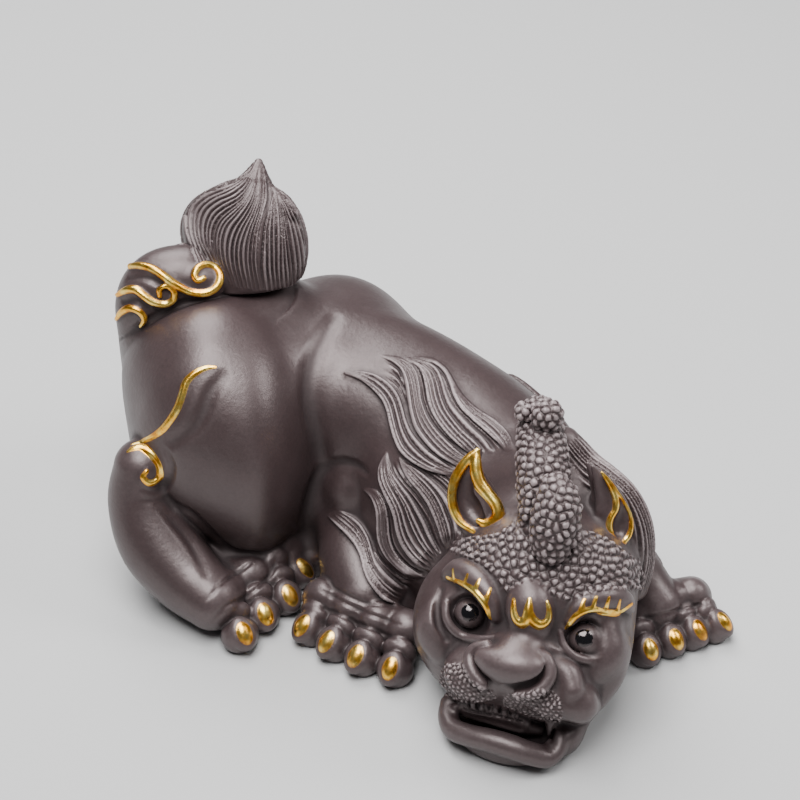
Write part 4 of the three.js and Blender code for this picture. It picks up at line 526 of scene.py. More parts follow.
# locks of the mane: outer edge and inner edge as picture points from the tip to the root, strands, height
LOCKS=[
 ([(344,374),(353,377),(363,382),(373,390),(382,400),(387,412),(390,426),(394,440),(400,452),(410,461),(423,468),(437,473),(452,477)],
  [(344,372),(360,371),(375,375),(388,383),(397,393),(402,405),(406,418),(412,431),(421,443),(432,454),(444,462),(457,469)],4,1.15),
 ([(381,357),(393,363),(401,372),(404,385),(406,400),(409,415),(414,430),(423,442),(434,453),(446,461),(458,468)],
  [(381,355),(398,357),(410,363),(417,373),(420,386),(422,400),(427,414),(435,427),(446,439),(458,450),(470,458)],4,1.0),
 ([(404,359),(416,366),(423,376),(426,388),(428,400),(432,412),(439,424),(449,436),(461,447),(472,456)],
  [(404,357),(422,360),(436,368),(443,380),(447,392),(453,405),(463,417),(475,429),(487,440),(495,452)],5,1.0),
 ([(412,358),(432,363),(444,372),(450,384),(454,396),(461,408),(472,419),(485,430),(497,441),(505,451)],
  [(412,356),(431,358),(444,366),(452,377),(459,389),(468,400),(480,410),(493,418),(504,427),(512,438),(515,451)],5,0.8),
 ([(386,452),(381,460),(378,470),(379,482),(384,494),(390,506),(394,518),(396,531),(400,544),(408,556),(419,566),(431,573)],
  [(387,453),(389,464),(394,475),(402,486),(411,497),(419,509),(426,521),(431,533),(436,544),(442,554)],6,1.3),
 ([(398,458),(402,469),(409,480),(418,490),(426,501),(432,513),(437,526),(441,538),(445,549)],
  [(399,458),(412,466),(425,475),(437,485),(447,496),(454,508),(459,520),(461,532),(459,543)],5,1.1),
 ([(363,490),(370,497),(375,507),(377,519),(377,531),(379,543),(385,555),(394,565),(404,573),(415,579)],
  [(365,488),(375,490),(383,498),(387,510),(389,522),(390,534),(393,546),(399,557),(408,566),(419,573),(428,577)],5,1.1),
 ([(326,516),(337,526),(348,536),(356,546),(361,557),(364,569),(369,581),(377,592),(387,601),(398,606)],
  [(337,509),(350,515),(361,524),(368,536),(372,549),(377,561),(386,572),(397,581),(409,588)],5,1.0),
]
GAPS=[([(380,377),(397,390),(403,402),(407,416),(413,430),(422,442),(433,453),(445,461)],[(384,359),(399,370),(405,385),(408,400),(411,415),(416,430),(425,442),(436,453),(448,461),(458,468)],3),
 ([(398,357),(411,363),(418,374),(421,387),(423,400),(428,414),(436,427),(447,439),(459,450)],[(404,358),(417,366),(424,376),(427,388),(429,400),(433,412),(440,424),(450,436),(462,447)],1),
 ([(436,368),(443,380),(447,392),(453,405),(463,417),(475,429),(487,440),(495,452)],[(438,367),(446,372),(451,384),(455,396),(462,408),(473,419),(486,430),(498,441),(506,451)],2),
 ([(401,459),(412,466),(425,475),(437,485),(447,496),(454,508),(459,520),(461,532),(459,543)],[(403,457),(416,462),(434,468),(452,477),(463,490),(468,506),(467,525),(462,543)],4),
 ([(389,464),(394,475),(402,486),(411,497),(419,509),(426,521),(431,533),(436,544),(442,554)],[(398,458),(402,469),(409,480),(418,490),(426,501),(432,513),(437,526),(441,538),(445,549)],2),
 ([(378,491),(384,498),(388,510),(390,522),(391,534),(394,546),(400,557),(409,566),(420,573)],[(379,480),(384,494),(390,506),(394,518),(396,531),(400,544),(408,556),(419,566),(431,573)],1),
 ([(372,549),(377,561),(386,572),(397,581),(409,588)],[(378,540),(385,555),(394,565),(404,573),(415,579)],2)]
def strand_wave(x,sharp=0.75): return (0.5-0.5*np.cos(2*np.pi*x))**sharp
def mane(S):
    """the near side of the mane and the sheet behind the far ear, as overlapping locks of strands"""
    R=Relief((318,348,662,615)); R.gate(list(S.ops)); F=Relief((318,348,662,615)); F.T,F.gx,F.gy,F.reach=R.T,R.gx,R.gy,R.reach; rng=np.random.default_rng(5)
    for lo,hi,g,hh in [(a,b,c,0.0) for a,b,c in GAPS]+LOCKS[::-1]:
        wob=rng.uniform(-0.16,0.16,g+1); wide=np.r_[0,np.cumsum(rng.uniform(0.55,1.55,g))]; wide/=wide[-1]; tall=rng.uniform(-0.22,0.22,g+1); amp=rng.uniform(0.75,1.15,g+1)
        def fn(t,f,W,g=g,hh=hh,wob=wob):
            f2=f+0.5/g*np.interp(f*g,np.arange(g+1),wob)*np.sin(3*t+g)
            return 1.35*hh*np.minimum(1,0.15+3.2*t)*np.clip((1.02-t)*7,0,1)*(1-np.clip((0.10-f)/0.10,0,1)**2)*(1-0.6*f)+0*f2
        def fine(t,f,W,g=g,wob=wob,hh=hh,wide=wide,tall=tall,amp=amp):
            x=np.interp(f,wide,np.arange(g+1)); x=x+0.35*np.sin(np.pi*f)*np.sin(3*t+g); i=np.clip(x.astype(int),0,g); h=strand_wave(x,0.5)
            z=1.12*amp[i]*(h-0.62)+tall[i]*h+0.20*(strand_wave(2*x+0.35*np.sin(4*t+i),0.8)-0.5)*h
            return z*(1 if hh else 0.75)*np.clip(t*6,0,1)*np.clip((1.0-t)*7,0,1)*np.clip(W/g/3.8,0.25,1)
        R.patch(lo,hi,fn); F.patch(lo,hi,fine,mode='set')
    R.soften(8); F.soften(3); H=R.H.copy(); R.soften(20); F.H=F.H+(H-R.H); S.fine.append((F,'front'))
    P,_=sight(list(S.ops),[(324,520),(345,372),(412,356),(515,440),(430,575),(570,430),(655,515),(642,596),(400,606)])
    S.add('D',0.0,P.min(0)-3,P.max(0)+3,R,'mane'); S.relief=R
def farmane(S):
    """the far side, which the viewer doesn't see: the same kind of locks, plainer"""
    ops=list(S.ops); S.locks=[]
    for A,B,a,b,w,gr in FARLOCKS: lock(S,ops,A,B,-a,-b,w,gr)
FARLOCKS=[((19.5,-6,30),(32,-29,29.5),1.0,1.8,3.0,5),((24.5,-11.5,24),(37,-35,25),1.0,1.8,3.0,5),((30,-19,18),(43,-41,19),0.8,1.6,2.8,5),((37,-27,10),(47,-44,11),0.6,1.2,2.4,4)]
def lock(S,ops,A,B,a,b,w,gr,n=14,hh=1.0):
    A,B=np.array(A,float),np.array(B,float); t=np.linspace(0,1,n+1)
    mid,nm=drape(ops,[(A+B)/2]); d=(B-A)/np.linalg.norm(B-A); side=np.cross(nm[0],d); side/=np.linalg.norm(side)
    C=A+(B-A)*t[:,None]+side*(a*np.sin(np.pi*t)+b*np.sin(2*np.pi*t))[:,None]
    C,N=drape(ops,C)
    ww=w*np.minimum(1.0,0.12+1.5*t)*(1-0.12*t); h=hh*np.minimum(1,4*t+0.15)*np.clip((1.04-t)*5,0,1)
    S.ribbon(C,N,ww,h,grooves=0,edge=4,name='lock')
    T=np.gradient(C,axis=0); Bn=np.cross(T,N); Bn/=np.linalg.norm(Bn,axis=1)[:,None]
    S.locks.append((C-Bn*ww[:,None],C+Bn*ww[:,None],C,N,ww,gr))
SCROLLS=[[(119,274,.6),(127,268,.85),(138,266,1.0),(149,268,1.05),(160,274,1.1),(172,283,1.1),(185,290,1.05),(198,293,1.05),(209,291.5,1.1),(217,285,1.15),(219,276,1.1),(214,268,1.0),(205,265,.95),(197,268.5,.85),(194,275.5,.8),(197,280.5,.75),(203,278.5,.6)],
 [(117,295,.6),(126,290,.95),(136,290,1.1),(144,296,1.1),(153,302,1.05),(164,304,1.0),(173,299,.95),(173,291,.85),(166,286,.75),(159,289,.7),(159,296,.5)],
 [(116,319,.5),(121,312,.85),(130,308,1.0),(139,311,1.0),(144,319,.85),(140,326,.5)]]
CREASES=[ # picture x, y, radius, then lift and blend
 ([(334,318,.15),(323,338,.5),(313,362,.9),(309,385,1.1),(310,410,1.1),(315,435,1.0),(320,455,.8),(323,466,.4)],0.62,2.6),
 ([(320,470,.3),(313,487,.8),(308,508,1.2),(307,530,1.3),(309,549,1.0)],0.35,1.8),
 ([(311,495,.3),(316,480,.6),(326,467,.8),(342,462,.8),(356,465,.7),(366,472,.3)],0.35,1.2),
 ([(222,376,.2),(210,392,.8),(202,412,1.1),(190,430,1.0),(170,443,.4)],0.55,2.0),
 ([(165,450,.3),(171,466,.7),(167,482,.8),(155,491,.7),(142,489,.3)],0.4,1.0),
 ([(118,340,.5),(140,326,.8),(165,311,.8),(190,303,.8),(215,298,.5)],0.3,0.7),
 ([(127,279,.4),(146,278,.7),(160,285,.8),(172,294,.6)],0.2,0.6),
 ([(122,302,.4),(136,300,.6),(148,309,.7),(160,313,.5)],0.2,0.6),
 ([(158,508,.2),(170,518,.7),(186,536,.9),(198,556,.8),(205,574,.2)],0.5,1.6),
 ([(146,500,.3),(165,501,.7),(190,513,.9),(212,534,.9),(236,551,.7),(262,556,.4)],0.5,1.3)]
TOECREASES=[[(313,606),(333,612),(356,623),(382,633),(404,644)],[(326.5,582),(341,592),(366,603),(394.5,607)],[(636,621),(650,618),(672,612),(696,606),(715,602)],
 [(212,622),(225,606),(246,596),(271,573),(275,558)],[(318,588),(338,599),(360,610),(384,619),(402,625)],[(206,600),(222,582),(246,566),(262,550)]]
def creases(S):
    ops=list(S.ops)
    for rows,lift,k in CREASES: line(S,ops,rows,lift=lift,k=k,kind='S',name='crease')
    for q in TOECREASES:
        n=len(q); line(S,ops,[(x,y,0.25 if i in (0,n-1) else 0.5) for i,(x,y) in enumerate(q)],lift=0.2,k=0.35,kind='S',name='toecrease')
def scrolls(S,ops):
    ops=ops[:S.tail1]
    c=sight(ops,[(199,281)])[0][0]; S.ell(c-BACK*2.6,[5.0,3.6,3.8],k=1.2,name='scrollknob'); ops=ops+S.ops[-1:]
    rows=[catmull(np.array(g,float),(len(g)-1)*3) for g in SCROLLS]
    for X,(P,N) in zip(rows,sight_many(ops,rows)):
        ok=np.linalg.norm(P-EYE,axis=1)<560; P,N,r=P[ok],N[ok],X[ok,2]*0.70
        S.tube(P+N*0.2,r,k=0.5,n=len(P)-1,name='scroll'); S.gold.append((P+N*0.2,r+0.12))
GOLD=[ # rows of picture x, y, half width
 [(448,578,.4),(461,583,.62),(474,591,.75),(484,603,.7),(490,618,.4)],[(454,581,.38),(453,569,.16)],[(464,585,.42),(468,574,.16)],[(474,591,.48),(480,579,.18)],[(485,604,.42),(491,588,.18)],
 [(567,628,.3),(577,616,.6),(590,610,.7),(605,611,.72),(620,612,.6),(633,604,.3)],[(580,614,.42),(585,599,.18)],[(593,610,.42),(597,597,.18)],[(606,611,.45),(610,597,.18)],[(618,612,.38),(621,600,.16)],
 [(514,600,.4),(514,612,.8),(517,620,1.0),(522,623,1.05),(527,619,.9),(529,609,.75),(530,599,.35)],[(530,612,.65),(534,621,.85),(541,625,.95),(548,621,.85),(550,612,.65),(548,602,.3)],
 [(215,367,.2),(205,368,.4),(193,374,.6),(185,383,.7),(181,396,.7),(175,411,.75),(163,428,.7),(149,438,.5),(131,444,.2)],
 [(127,451,.3),(133,448,.6),(141,447,.8),(152,455,.8),(159,467,.75),(158,478,.65),(149,483,.6),(142,477,.5),(146,471,.4)]]
def goldlines(S):
    ops=list(S.ops); rows=[catmull(np.array(g,float),(len(g)-1)*4) if len(g)>2 else even(np.array(g,float),3) for g in GOLD]
    for X,(P,N) in zip(rows,sight_many(ops,rows)):
        ok=np.linalg.norm(P-EYE,axis=1)<545; P,N,X=P[ok],N[ok],X[ok]
        S.tube(P-N*X[:,2:3]*0.45,X[:,2],k=0.15,n=len(P)-1,name='goldline'); S.gold.append((P,X[:,2]+0.1))
TUFT=[[(196,262),(189,245),(184,228),(183,213),(188,201),(200,191),(218,184),(236,179),(247,171),(256,159)],
 [(214,262),(207,245),(206,228),(211,214),(222,205),(236,198),(246,188),(252,176),(258,160)],
 [(232,287),(224,262),(222,244),(226,228),(236,216),(246,204),(252,192),(256,178),(259,161)],
 [(246,289),(241,264),(241,246),(246,230),(253,215),(258,200),(260,186),(260,172),(260,161)],
 [(262,291),(257,266),(257,248),(259,230),(263,214),(266,200),(266,187),(265,174),(262,162)],
 [(282,291),(280,270),(280,248),(280,228),(278,210),(277,200),(275,191)],
 [(296,288),(297,268),(295,248),(291,228),(285,210),(280,199),(275.5,191)],
 [(303,284),(310,264),(311,246),(306,228),(296,211),(286,199),(276,190)]]
TUFTN=[5,5,4,4,4,4,3]
def tuft_relief(S,ops):
    """the strands of the tuft that the viewer sees: a flame that leans to its tip, and a smaller one beside it"""
    R=Relief((168,148,322,300),4); R.gate(ops,3.0); rng=np.random.default_rng(9)
    for i,k in enumerate(TUFTN):
        amp=rng.uniform(0.75,1.2,k+1); lo=TUFT[i] if i!=4 else [(264,291),(261,270),(262,250),(264,230),(268,214),(271,202),(274,192)]
        def fn(t,f,W,k=k,amp=amp,i=i):
            x=f*k; a=amp[np.clip(x.astype(int),0,k)]
            y=np.clip(x+0.30*np.sin(5*t+i)*np.sin(np.pi*f),0,k); h=strand_wave(y,0.5)
            return (1.00*a*(h-0.64)+0.18*np.sin(x*1.7+2.2*t)+0.16*(strand_wave(2*y,0.8)-0.5)*h)*np.clip(t*5,0.3,1)*np.clip(W/k/2.3,0.12,1)
        R.patch(lo,TUFT[i+1],fn,n=900,m=140,mode='set')
    R.soften(2); return R
def tuft_strands(S,P):
    """ridges that run up the far side of the tuft from its foot to its tip, paired off as it narrows"""
    out=np.zeros(len(P)); k=np.nonzero(((P>[-46,-17,50])&(P<[-15,20,76])).all(1))[0]
    if not len(k): return out
    Q=P[k]; ax=np.array(S.tuft); z=Q[:,2]; cx=np.interp(z,ax[:,2],ax[:,0]); cy=np.interp(z,ax[:,2],ax[:,1])
    u,v=Q[:,0]-cx,(Q[:,1]-cy)*1.45; r=np.hypot(u,v); a=np.arctan2(v,u)/(2*np.pi); f=np.clip((z-54)/19,0,1)
    keep=tuft_keep(Q)*np.clip((16-r)/2,0,1)
    x=a*52+1.8*np.sin(3.0*f)+0.35*np.sin(2*np.pi*a*5+4*f)+0.22*np.sin(2*np.pi*a*13)
    amp=0.8+0.28*np.sin(2*np.pi*a*7+1.0)+0.2*np.sin(2*np.pi*a*11+2.0)
    wide=np.clip((r-4.2)/2.6,0,1); fine=strand_wave(x,0.6)-0.75; half=strand_wave(x/2,0.6)-0.75; last=strand_wave(x/4,0.9)-0.8; low=np.clip((r-2.0)/1.6,0,1)
    w=0.78*fine*wide+(1-wide)*low*0.62*half+(1-low)*0.25*last*np.clip(r/1.2,0,1)
    out[k]=w*amp*keep+0.2*np.sin(2*np.pi*a*9+1.5*f)*keep*wide; return out
def tuft_keep(Q): return np.clip((Q[:,2]-(54.2-0.26*(Q[:,1]+9.7))-0.1)/0.9,0,1)*np.clip((Q[:,0]+45.5)/1.5,0,1)
def sheet_strands(S,P):
    """strands that run along the roll of mane behind the far ear"""
    out=np.zeros(len(P)); X=S.sheet; C,R=X[:,:3],X[:,3]; lo,hi=C.min(0)-5.5,C.max(0)+5.5; k=np.nonzero(((P>lo)&(P<hi)).all(1))[0]
    if not len(k): return out
    Q=P[k]; best=np.full(len(Q),99.0); v=np.zeros_like(Q); T=np.zeros_like(Q); s=np.zeros(len(Q)); rr=np.zeros(len(Q))
    for i in range(len(C)-1):
        ab=C[i+1]-C[i]; t=np.clip(((Q-C[i])@ab)/(ab@ab),0,1); w=Q-C[i]-t[:,None]*ab; d=np.linalg.norm(w,axis=1); q=d<best
        best[q]=d[q]; v[q]=w[q]; T[q]=ab/np.linalg.norm(ab); s[q]=(i+t[q])/(len(C)-1); rr[q]=R[i]
    e1=np.cross(T,BACK); e1/=np.linalg.norm(e1,axis=1)[:,None]+1e-9; e2=np.cross(T,e1); a=np.arctan2((v*e2).sum(1),(v*e1).sum(1))/(2*np.pi)
    x=a*26+0.9*np.sin(3.2*s)+0.3*np.sin(2*np.pi*a*4+5*s)
    fade=np.clip((1.1-np.abs(best-rr))/0.7,0,1)*np.clip(s/0.08,0,1)*np.clip((1-s)/0.08,0,1)
    out[k]=(0.72*(strand_wave(x,0.6)-0.72)+0.12*np.sin(a*44+3*s))*fade; return out
def capsule_fade(P,lo,hi): return np.clip((P-lo)/(hi-lo),0,1)
def poly_dist(q,poly):
    """signed distance in the picture from points to a closed outline, positive inside"""
    poly=np.array(poly,float); d=np.full(len(q),1e9); ins=np.zeros(len(q),bool)
    for a,b in zip(poly,np.roll(poly,-1,0)):
        ab=b-a; t=np.clip(((q-a)@ab)/(ab@ab),0,1); d=np.minimum(d,np.linalg.norm(q-a-t[:,None]*ab,axis=1))
        c=((a[1]>q[:,1])!=(b[1]>q[:,1])); x=a[0]+(q[:,1]-a[1])/np.where(b[1]==a[1],1e-9,b[1]-a[1])*(b[0]-a[0]); ins^=c&(q[:,0]<x)
    return np.where(ins,d,-d)
def seeds(P,gap,seed,relax=2):
    """an even scatter of points of P, about gap apart"""
    rng=np.random.default_rng(seed); cell={}; out=[]
    for i in rng.permutation(len(P)):
        p=P[i]; c=(int(p[0]//gap),int(p[1]//gap),int(p[2]//gap)); bad=False
        for dx in (-1,0,1):
            for dy in (-1,0,1):
                for dz in (-1,0,1):
                    for q in cell.get((c[0]+dx,c[1]+dy,c[2]+dz),()):
                        if (p[0]-q[0])**2+(p[1]-q[1])**2+(p[2]-q[2])**2<gap*gap: bad=True; break
                    if bad: break
                if bad: break
            if bad: break
        if not bad: cell.setdefault(c,[]).append(p); out.append(p)
    X=np.array(out)
    for _ in range(relax):
        i1,_,_=nearest2(P,X); n=np.bincount(i1,minlength=len(X))[:,None]; X=np.where(n>0,np.stack([np.bincount(i1,weights=P[:,k],minlength=len(X)) for k in range(3)],-1)/np.maximum(n,1),X)
    return X
def nearest2(P,X):
    i1=np.zeros(len(P),int); d1=np.zeros(len(P)); d2=np.zeros(len(P)); xx=(X*X).sum(1)
    for a in range(0,len(P),4000):
        Q=P[a:a+4000]; D=(Q*Q).sum(1)[:,None]+xx-2*Q@X.T; j=np.argmin(D,1); r=np.arange(len(Q)); i1[a:a+4000]=j; d1[a:a+4000]=D[r,j]; D[r,j]=1e9; d2[a:a+4000]=D.min(1)
    return i1,np.sqrt(np.maximum(d1,0)),np.sqrt(np.maximum(d2,0))
def pebbles(P,w,gap,height,seed):
    """rounded pebbles over the points where w > 0"""
    out=np.zeros(len(P)); idx=np.nonzero(w>0.02)[0]
    if len(idx)<20: return out
    Q=P[idx]; X=seeds(Q,gap,seed,1); i1,d1,d2=nearest2(Q,X); tall=np.random.default_rng(seed+1).uniform(0.55,1.30,len(X))[i1]
    e=np.clip((d2-d1)/(0.80*gap),0,1); dome=np.clip(1-(d1/(0.72*gap))**2,0,1)
    out[idx]=height*(np.sqrt(1-(1-e)**2)*(0.40+0.60*dome)*tall-0.30)*w[idx]
    return out
CAP=[(441,543),(455,536),(478,535),(500,532),(517,518),(523,535),(545,548),(572,545),(584,528),(602,534),(621,546),(640,560),(647,578),(644,588),(634,591),(612,590),(592,594),(576,600),(560,601),(548,591),(538,584),(529,581),(518,586),(508,594),(498,580),(483,566),(466,558),(450,552)]
PAD_R=[(448,662),(464,663),(472,678),(484,686),(494,690),(498,698),(488,702),(466,703),(444,696),(438,682),(441,668)]
PAD_L=[(502,700),(508,692),(522,693),(536,689),(552,689),(561,698),(565,712),(561,724),(540,720),(519,712),(504,706)]
def build():
    S=Sculpt(); S.gold=[]; S.fine=[]
    trunk(S); neckmass(S); hind(S); feet(S); tail(S)
    creases(S)
    mane(S); farmane(S)
    ops=list(S.ops)
    R=tuft_relief(S,ops); S.fine+=[(lambda P: R(P)*tuft_keep(P)*(P[:,0]<-8)*(P[:,1]>-18)*(P[:,2]>49),'front'),(lambda P: tuft_strands(S,P),'back'),(lambda P: sheet_strands(S,P),'all')]
    scrolls(S,ops)
    head(S)
    goldlines(S)
    S.plane((0,0,-1),(0,0,0),k=0,name='floor')
    return S
# ---------------------------------------------------------------- fine relief and paint, per vertex
def near_lines(P,lines,reach):
    """distance from each point to the nearest polyline [(points, radii)], less the radius there"""
    d=np.full(len(P),9.0)
    for C,r in lines:
        r=np.broadcast_to(r,(len(C),)); lo=C.min(0)-reach-r.max(); hi=C.max(0)+reach+r.max()
        idx=np.nonzero(((P>=lo)&(P<=hi)).all(1))[0]
        if not len(idx): continue
        Q=P[idx]; b=d[idx]
        for i in range(len(C)-1): b=np.minimum(b,seg_dist(Q,C[i],C[i+1],r[i],r[i+1]))
        d[idx]=b
    return d
def strand_lines(lk):
    PL,PH,C,N,w,gr=lk; out=[]
    for j in range(1,gr+1):
        f=j/(gr+1)
        # quadratic through lower, centre and upper points
        a,b,c=(1-f)*(1-2*f),4*f*(1-f),f*(2*f-1)
        L=a*PL+b*C+c*PH
        out.append(L)
    return out
def ell_in(P,fr,c,r,R):
    return ell_f(fr,c,r,R)(P)
def fine_zone(S,V):
    """1 where the fine relief needs a closer mesh"""
    z=np.zeros(len(V),bool)
    for f,_ in S.fine: z|=np.abs(f(V))>0.01
    box=((V>[6,-92,22])&(V<[50,-40,60])).all(1); k=np.nonzero(box)[0]
    if len(k): q=to_px(V[k]); z[k]|=(field(V[k],S.ops[S.horn0:S.horn1],3)<0.8)|(poly_dist(q,CAP)>-1)
    box=((V>[4,-94,2])&(V<[48,-70,26])).all(1); k=np.nonzero(box)[0]
    if len(k): q=to_px(V[k]); z[k]|=(poly_dist(q,PAD_R)>-1)|(poly_dist(q,PAD_L)>-1)
    z|=(near_lines(V,S.gold,0.6)<0.35)|(near_lines(V,S.grooves,0.8)<0.6)
    return z
def refine(V,g,Q,S,limit):
    """quads to triangles, with the edges inside the fine zone halved; new points follow the curve of the surface"""
    T=np.vstack([Q[:,[0,1,2]],Q[:,[0,2,3]]]); z=fine_zone(S,V); n=len(V)
    E=np.sort(np.vstack([T[:,[0,1]],T[:,[1,2]],T[:,[2,0]]]),1); key=E[:,0].astype(np.int64)*n+E[:,1]
    U,inv=np.unique(key,return_inverse=True); a,b=U//n,U%n
    cut=z[a]&z[b]&(((V[a]-V[b])**2).sum(1)>limit*limit)
    N=g/(np.linalg.norm(g,axis=1)[:,None]+1e-9); A,B=V[a[cut]],V[b[cut]]; na,nb=N[a[cut]],N[b[cut]]; M=(A+B)/2
    M2=M-0.25*(((M-A)*na).sum(1)[:,None]*na+((M-B)*nb).sum(1)[:,None]*nb)
    mid=np.full(len(U),-1); mid[cut]=n+np.arange(cut.sum()); t=len(T); m=np.stack([mid[inv[:t]],mid[inv[t:2*t]],mid[inv[2*t:]]],1)
    V2=np.vstack([V,M2]); g2=np.vstack([g,na+nb]); c=(m>=0).sum(1); out=[T[c==0]]
    k=c==3; a_,b_,c_=T[k].T; x,y,w=m[k].T; out+=[np.stack(q,1) for q in ((a_,x,w),(x,b_,y),(w,y,c_),(x,y,w))]
    for r in range(3):
        t0,t1,t2=T[:,r],T[:,(r+1)%3],T[:,(r+2)%3]; m0,m1,m2=m[:,r],m[:,(r+1)%3],m[:,(r+2)%3]
        k=(c==1)&(m0>=0); out+=[np.stack([t0[k],m0[k],t2[k]],1),np.stack([m0[k],t1[k],t2[k]],1)]
        k=(c==2)&(m0<0); out+=[np.stack([t2[k],m2[k],m1[k]],1),np.stack([t0[k],t1[k],m1[k]],1),np.stack([t0[k],m1[k],m2[k]],1)]
    return V2,g2,np.vstack(out)
def finish(S,V,g,h):
    N=g/(np.linalg.norm(g,axis=1)[:,None]+1e-9)
    disp=np.zeros(len(V)); q=to_px(V)
    lines=[(L,0.0) for lk in S.locks for L in strand_lines(lk)]+[(lk[i],0.0) for lk in S.locks for i in (0,1)]
    d=near_lines(V,lines,1.0); disp-=0.38*np.clip(1-d/0.42,0,1)**1.2
    g=near_lines(V,S.grooves,1.0); disp-=0.42*np.clip(1-g/0.34,0,1)
    gold=near_lines(V,S.gold,0.6)
    front=(N@BACK); clear=np.clip(gold/0.3,0,1)
    face=np.clip((front-0.12)/0.25,0,1); side={'front':face,'back':1-face,'all':1.0}
    rel=np.zeros(len(V))
    for f,m in S.fine: z=f(V)*clear*side[m]; disp+=z; rel=np.maximum(rel,np.clip(np.abs(z)/0.12,0,1))
    rel*=1-0.55*tuft_keep(V)*((V[:,0]<-8)&(V[:,1]>-18)&(V[:,2]>49))
    # pebbled horn and brow cap
    box=((V>[4,-92,18])&(V<[52,-36,60])).all(1); k=np.nonzero(box)[0]
    if len(k):
        dh=field(V[k],S.ops[S.horn0:S.horn1],3); w=np.clip((0.9-dh)/0.6,0,1)
        c=np.clip(poly_dist(q[k],CAP)/2.0,0,1)*np.clip((front[k]-0.0)/0.2,0,1)*(V[k,1]<-52)
        w=np.maximum(w,c)*np.clip(gold[k]/0.3,0,1)
        disp[k]+=pebbles(V[k],w,1.30,0.66,3); rel[k]=np.maximum(rel[k],w)
    # stippled pads of the muzzle
    box=((V>[4,-94,2])&(V<[48,-70,26])).all(1); k=np.nonzero(box)[0]
    if len(k):
        w=np.maximum(np.clip(poly_dist(q[k],PAD_R)/1.5,0,1),np.clip(poly_dist(q[k],PAD_L)/1.5,0,1))*np.clip((front[k]-0.1)/0.2,0,1)
        disp[k]+=pebbles(V[k],w,0.78,0.46,4); rel[k]=np.maximum(rel[k],w)
    for f2,c,r,R in S.claws: gold=np.minimum(gold,ell_in(V,f2,c,r+0.10,R))
    col=np.zeros((len(V),3)); col[:,0]=np.clip(0.5-gold/0.2,0,1)
    for c,r in S.eyes:
        gz=-rays([(528,640)])[0]; e=np.linalg.norm(V-(c+gz*r*0.9),axis=1); col[:,1]=np.maximum(col[:,1],np.clip((1.75-e)/0.15,0,1))
    return V+N*disp[:,None],col,gold,rel
# ---------------------------------------------------------------- the visual piece
NODE="pixiu_figure"
TURN=-56.0   # the sculpt is worked facing the viewer, and stands turned by this about Z
def to_part(P,lo,hi,box):
    """sculpt millimetres to the part's frame in metres"""
    a=math.radians(TURN); c,s=math.cos(a),math.sin(a); P=np.atleast_2d(P)
    Q=np.column_stack([c*P[:,0]-s*P[:,1],s*P[:,0]+c*P[:,1],P[:,2]])
    if lo is None: lo,hi=Q.min(0),Q.max(0); return lo,hi
    b0,b1=np.array(box[0]),np.array(box[1])
    return b0+(Q-lo)/(hi-lo)*(b1-b0)
def mesh_object(name,V,Q):
    me=bpy.data.meshes.new(name); me.vertices.add(len(V)); me.vertices.foreach_set('co',V.astype(np.float32).ravel())
    K=Q.shape[1]; me.loops.add(len(Q)*K); me.loops.foreach_set('vertex_index',Q.astype(np.int32).ravel())
    me.polygons.add(len(Q)); me.polygons.foreach_set('loop_start',np.arange(len(Q),dtype=np.int32)*K); me.polygons.foreach_set('loop_total',np.full(len(Q),K,np.int32))
    me.update(calc_edges=True)
    ob=bpy.data.objects.new(name,me); bpy.context.collection.objects.link(ob)
    return ob
def attribute(me,name,values):
    at=me.attributes.new(name,'FLOAT','POINT'); at.data.foreach_set('value',np.asarray(values,np.float32))
def reduced(ob,target):
    """the mesh collapsed to about target triangles"""
    n=sum(len(p.vertices)-2 for p in ob.data.polygons) if len(ob.data.polygons)<10 else len(ob.data.loops)-2*len(ob.data.polygons)
    if n>target:
        m=ob.modifiers.new('thin','DECIMATE'); m.decimate_type='COLLAPSE'; m.ratio=target/n; m.use_collapse_triangulate=True
        dg=bpy.context.evaluated_depsgraph_get(); me=bpy.data.meshes.new_from_object(ob.evaluated_get(dg)); old=ob.data
        ob.modifiers.clear(); ob.data=me; me.name=old.name; bpy.data.meshes.remove(old)
    return ob
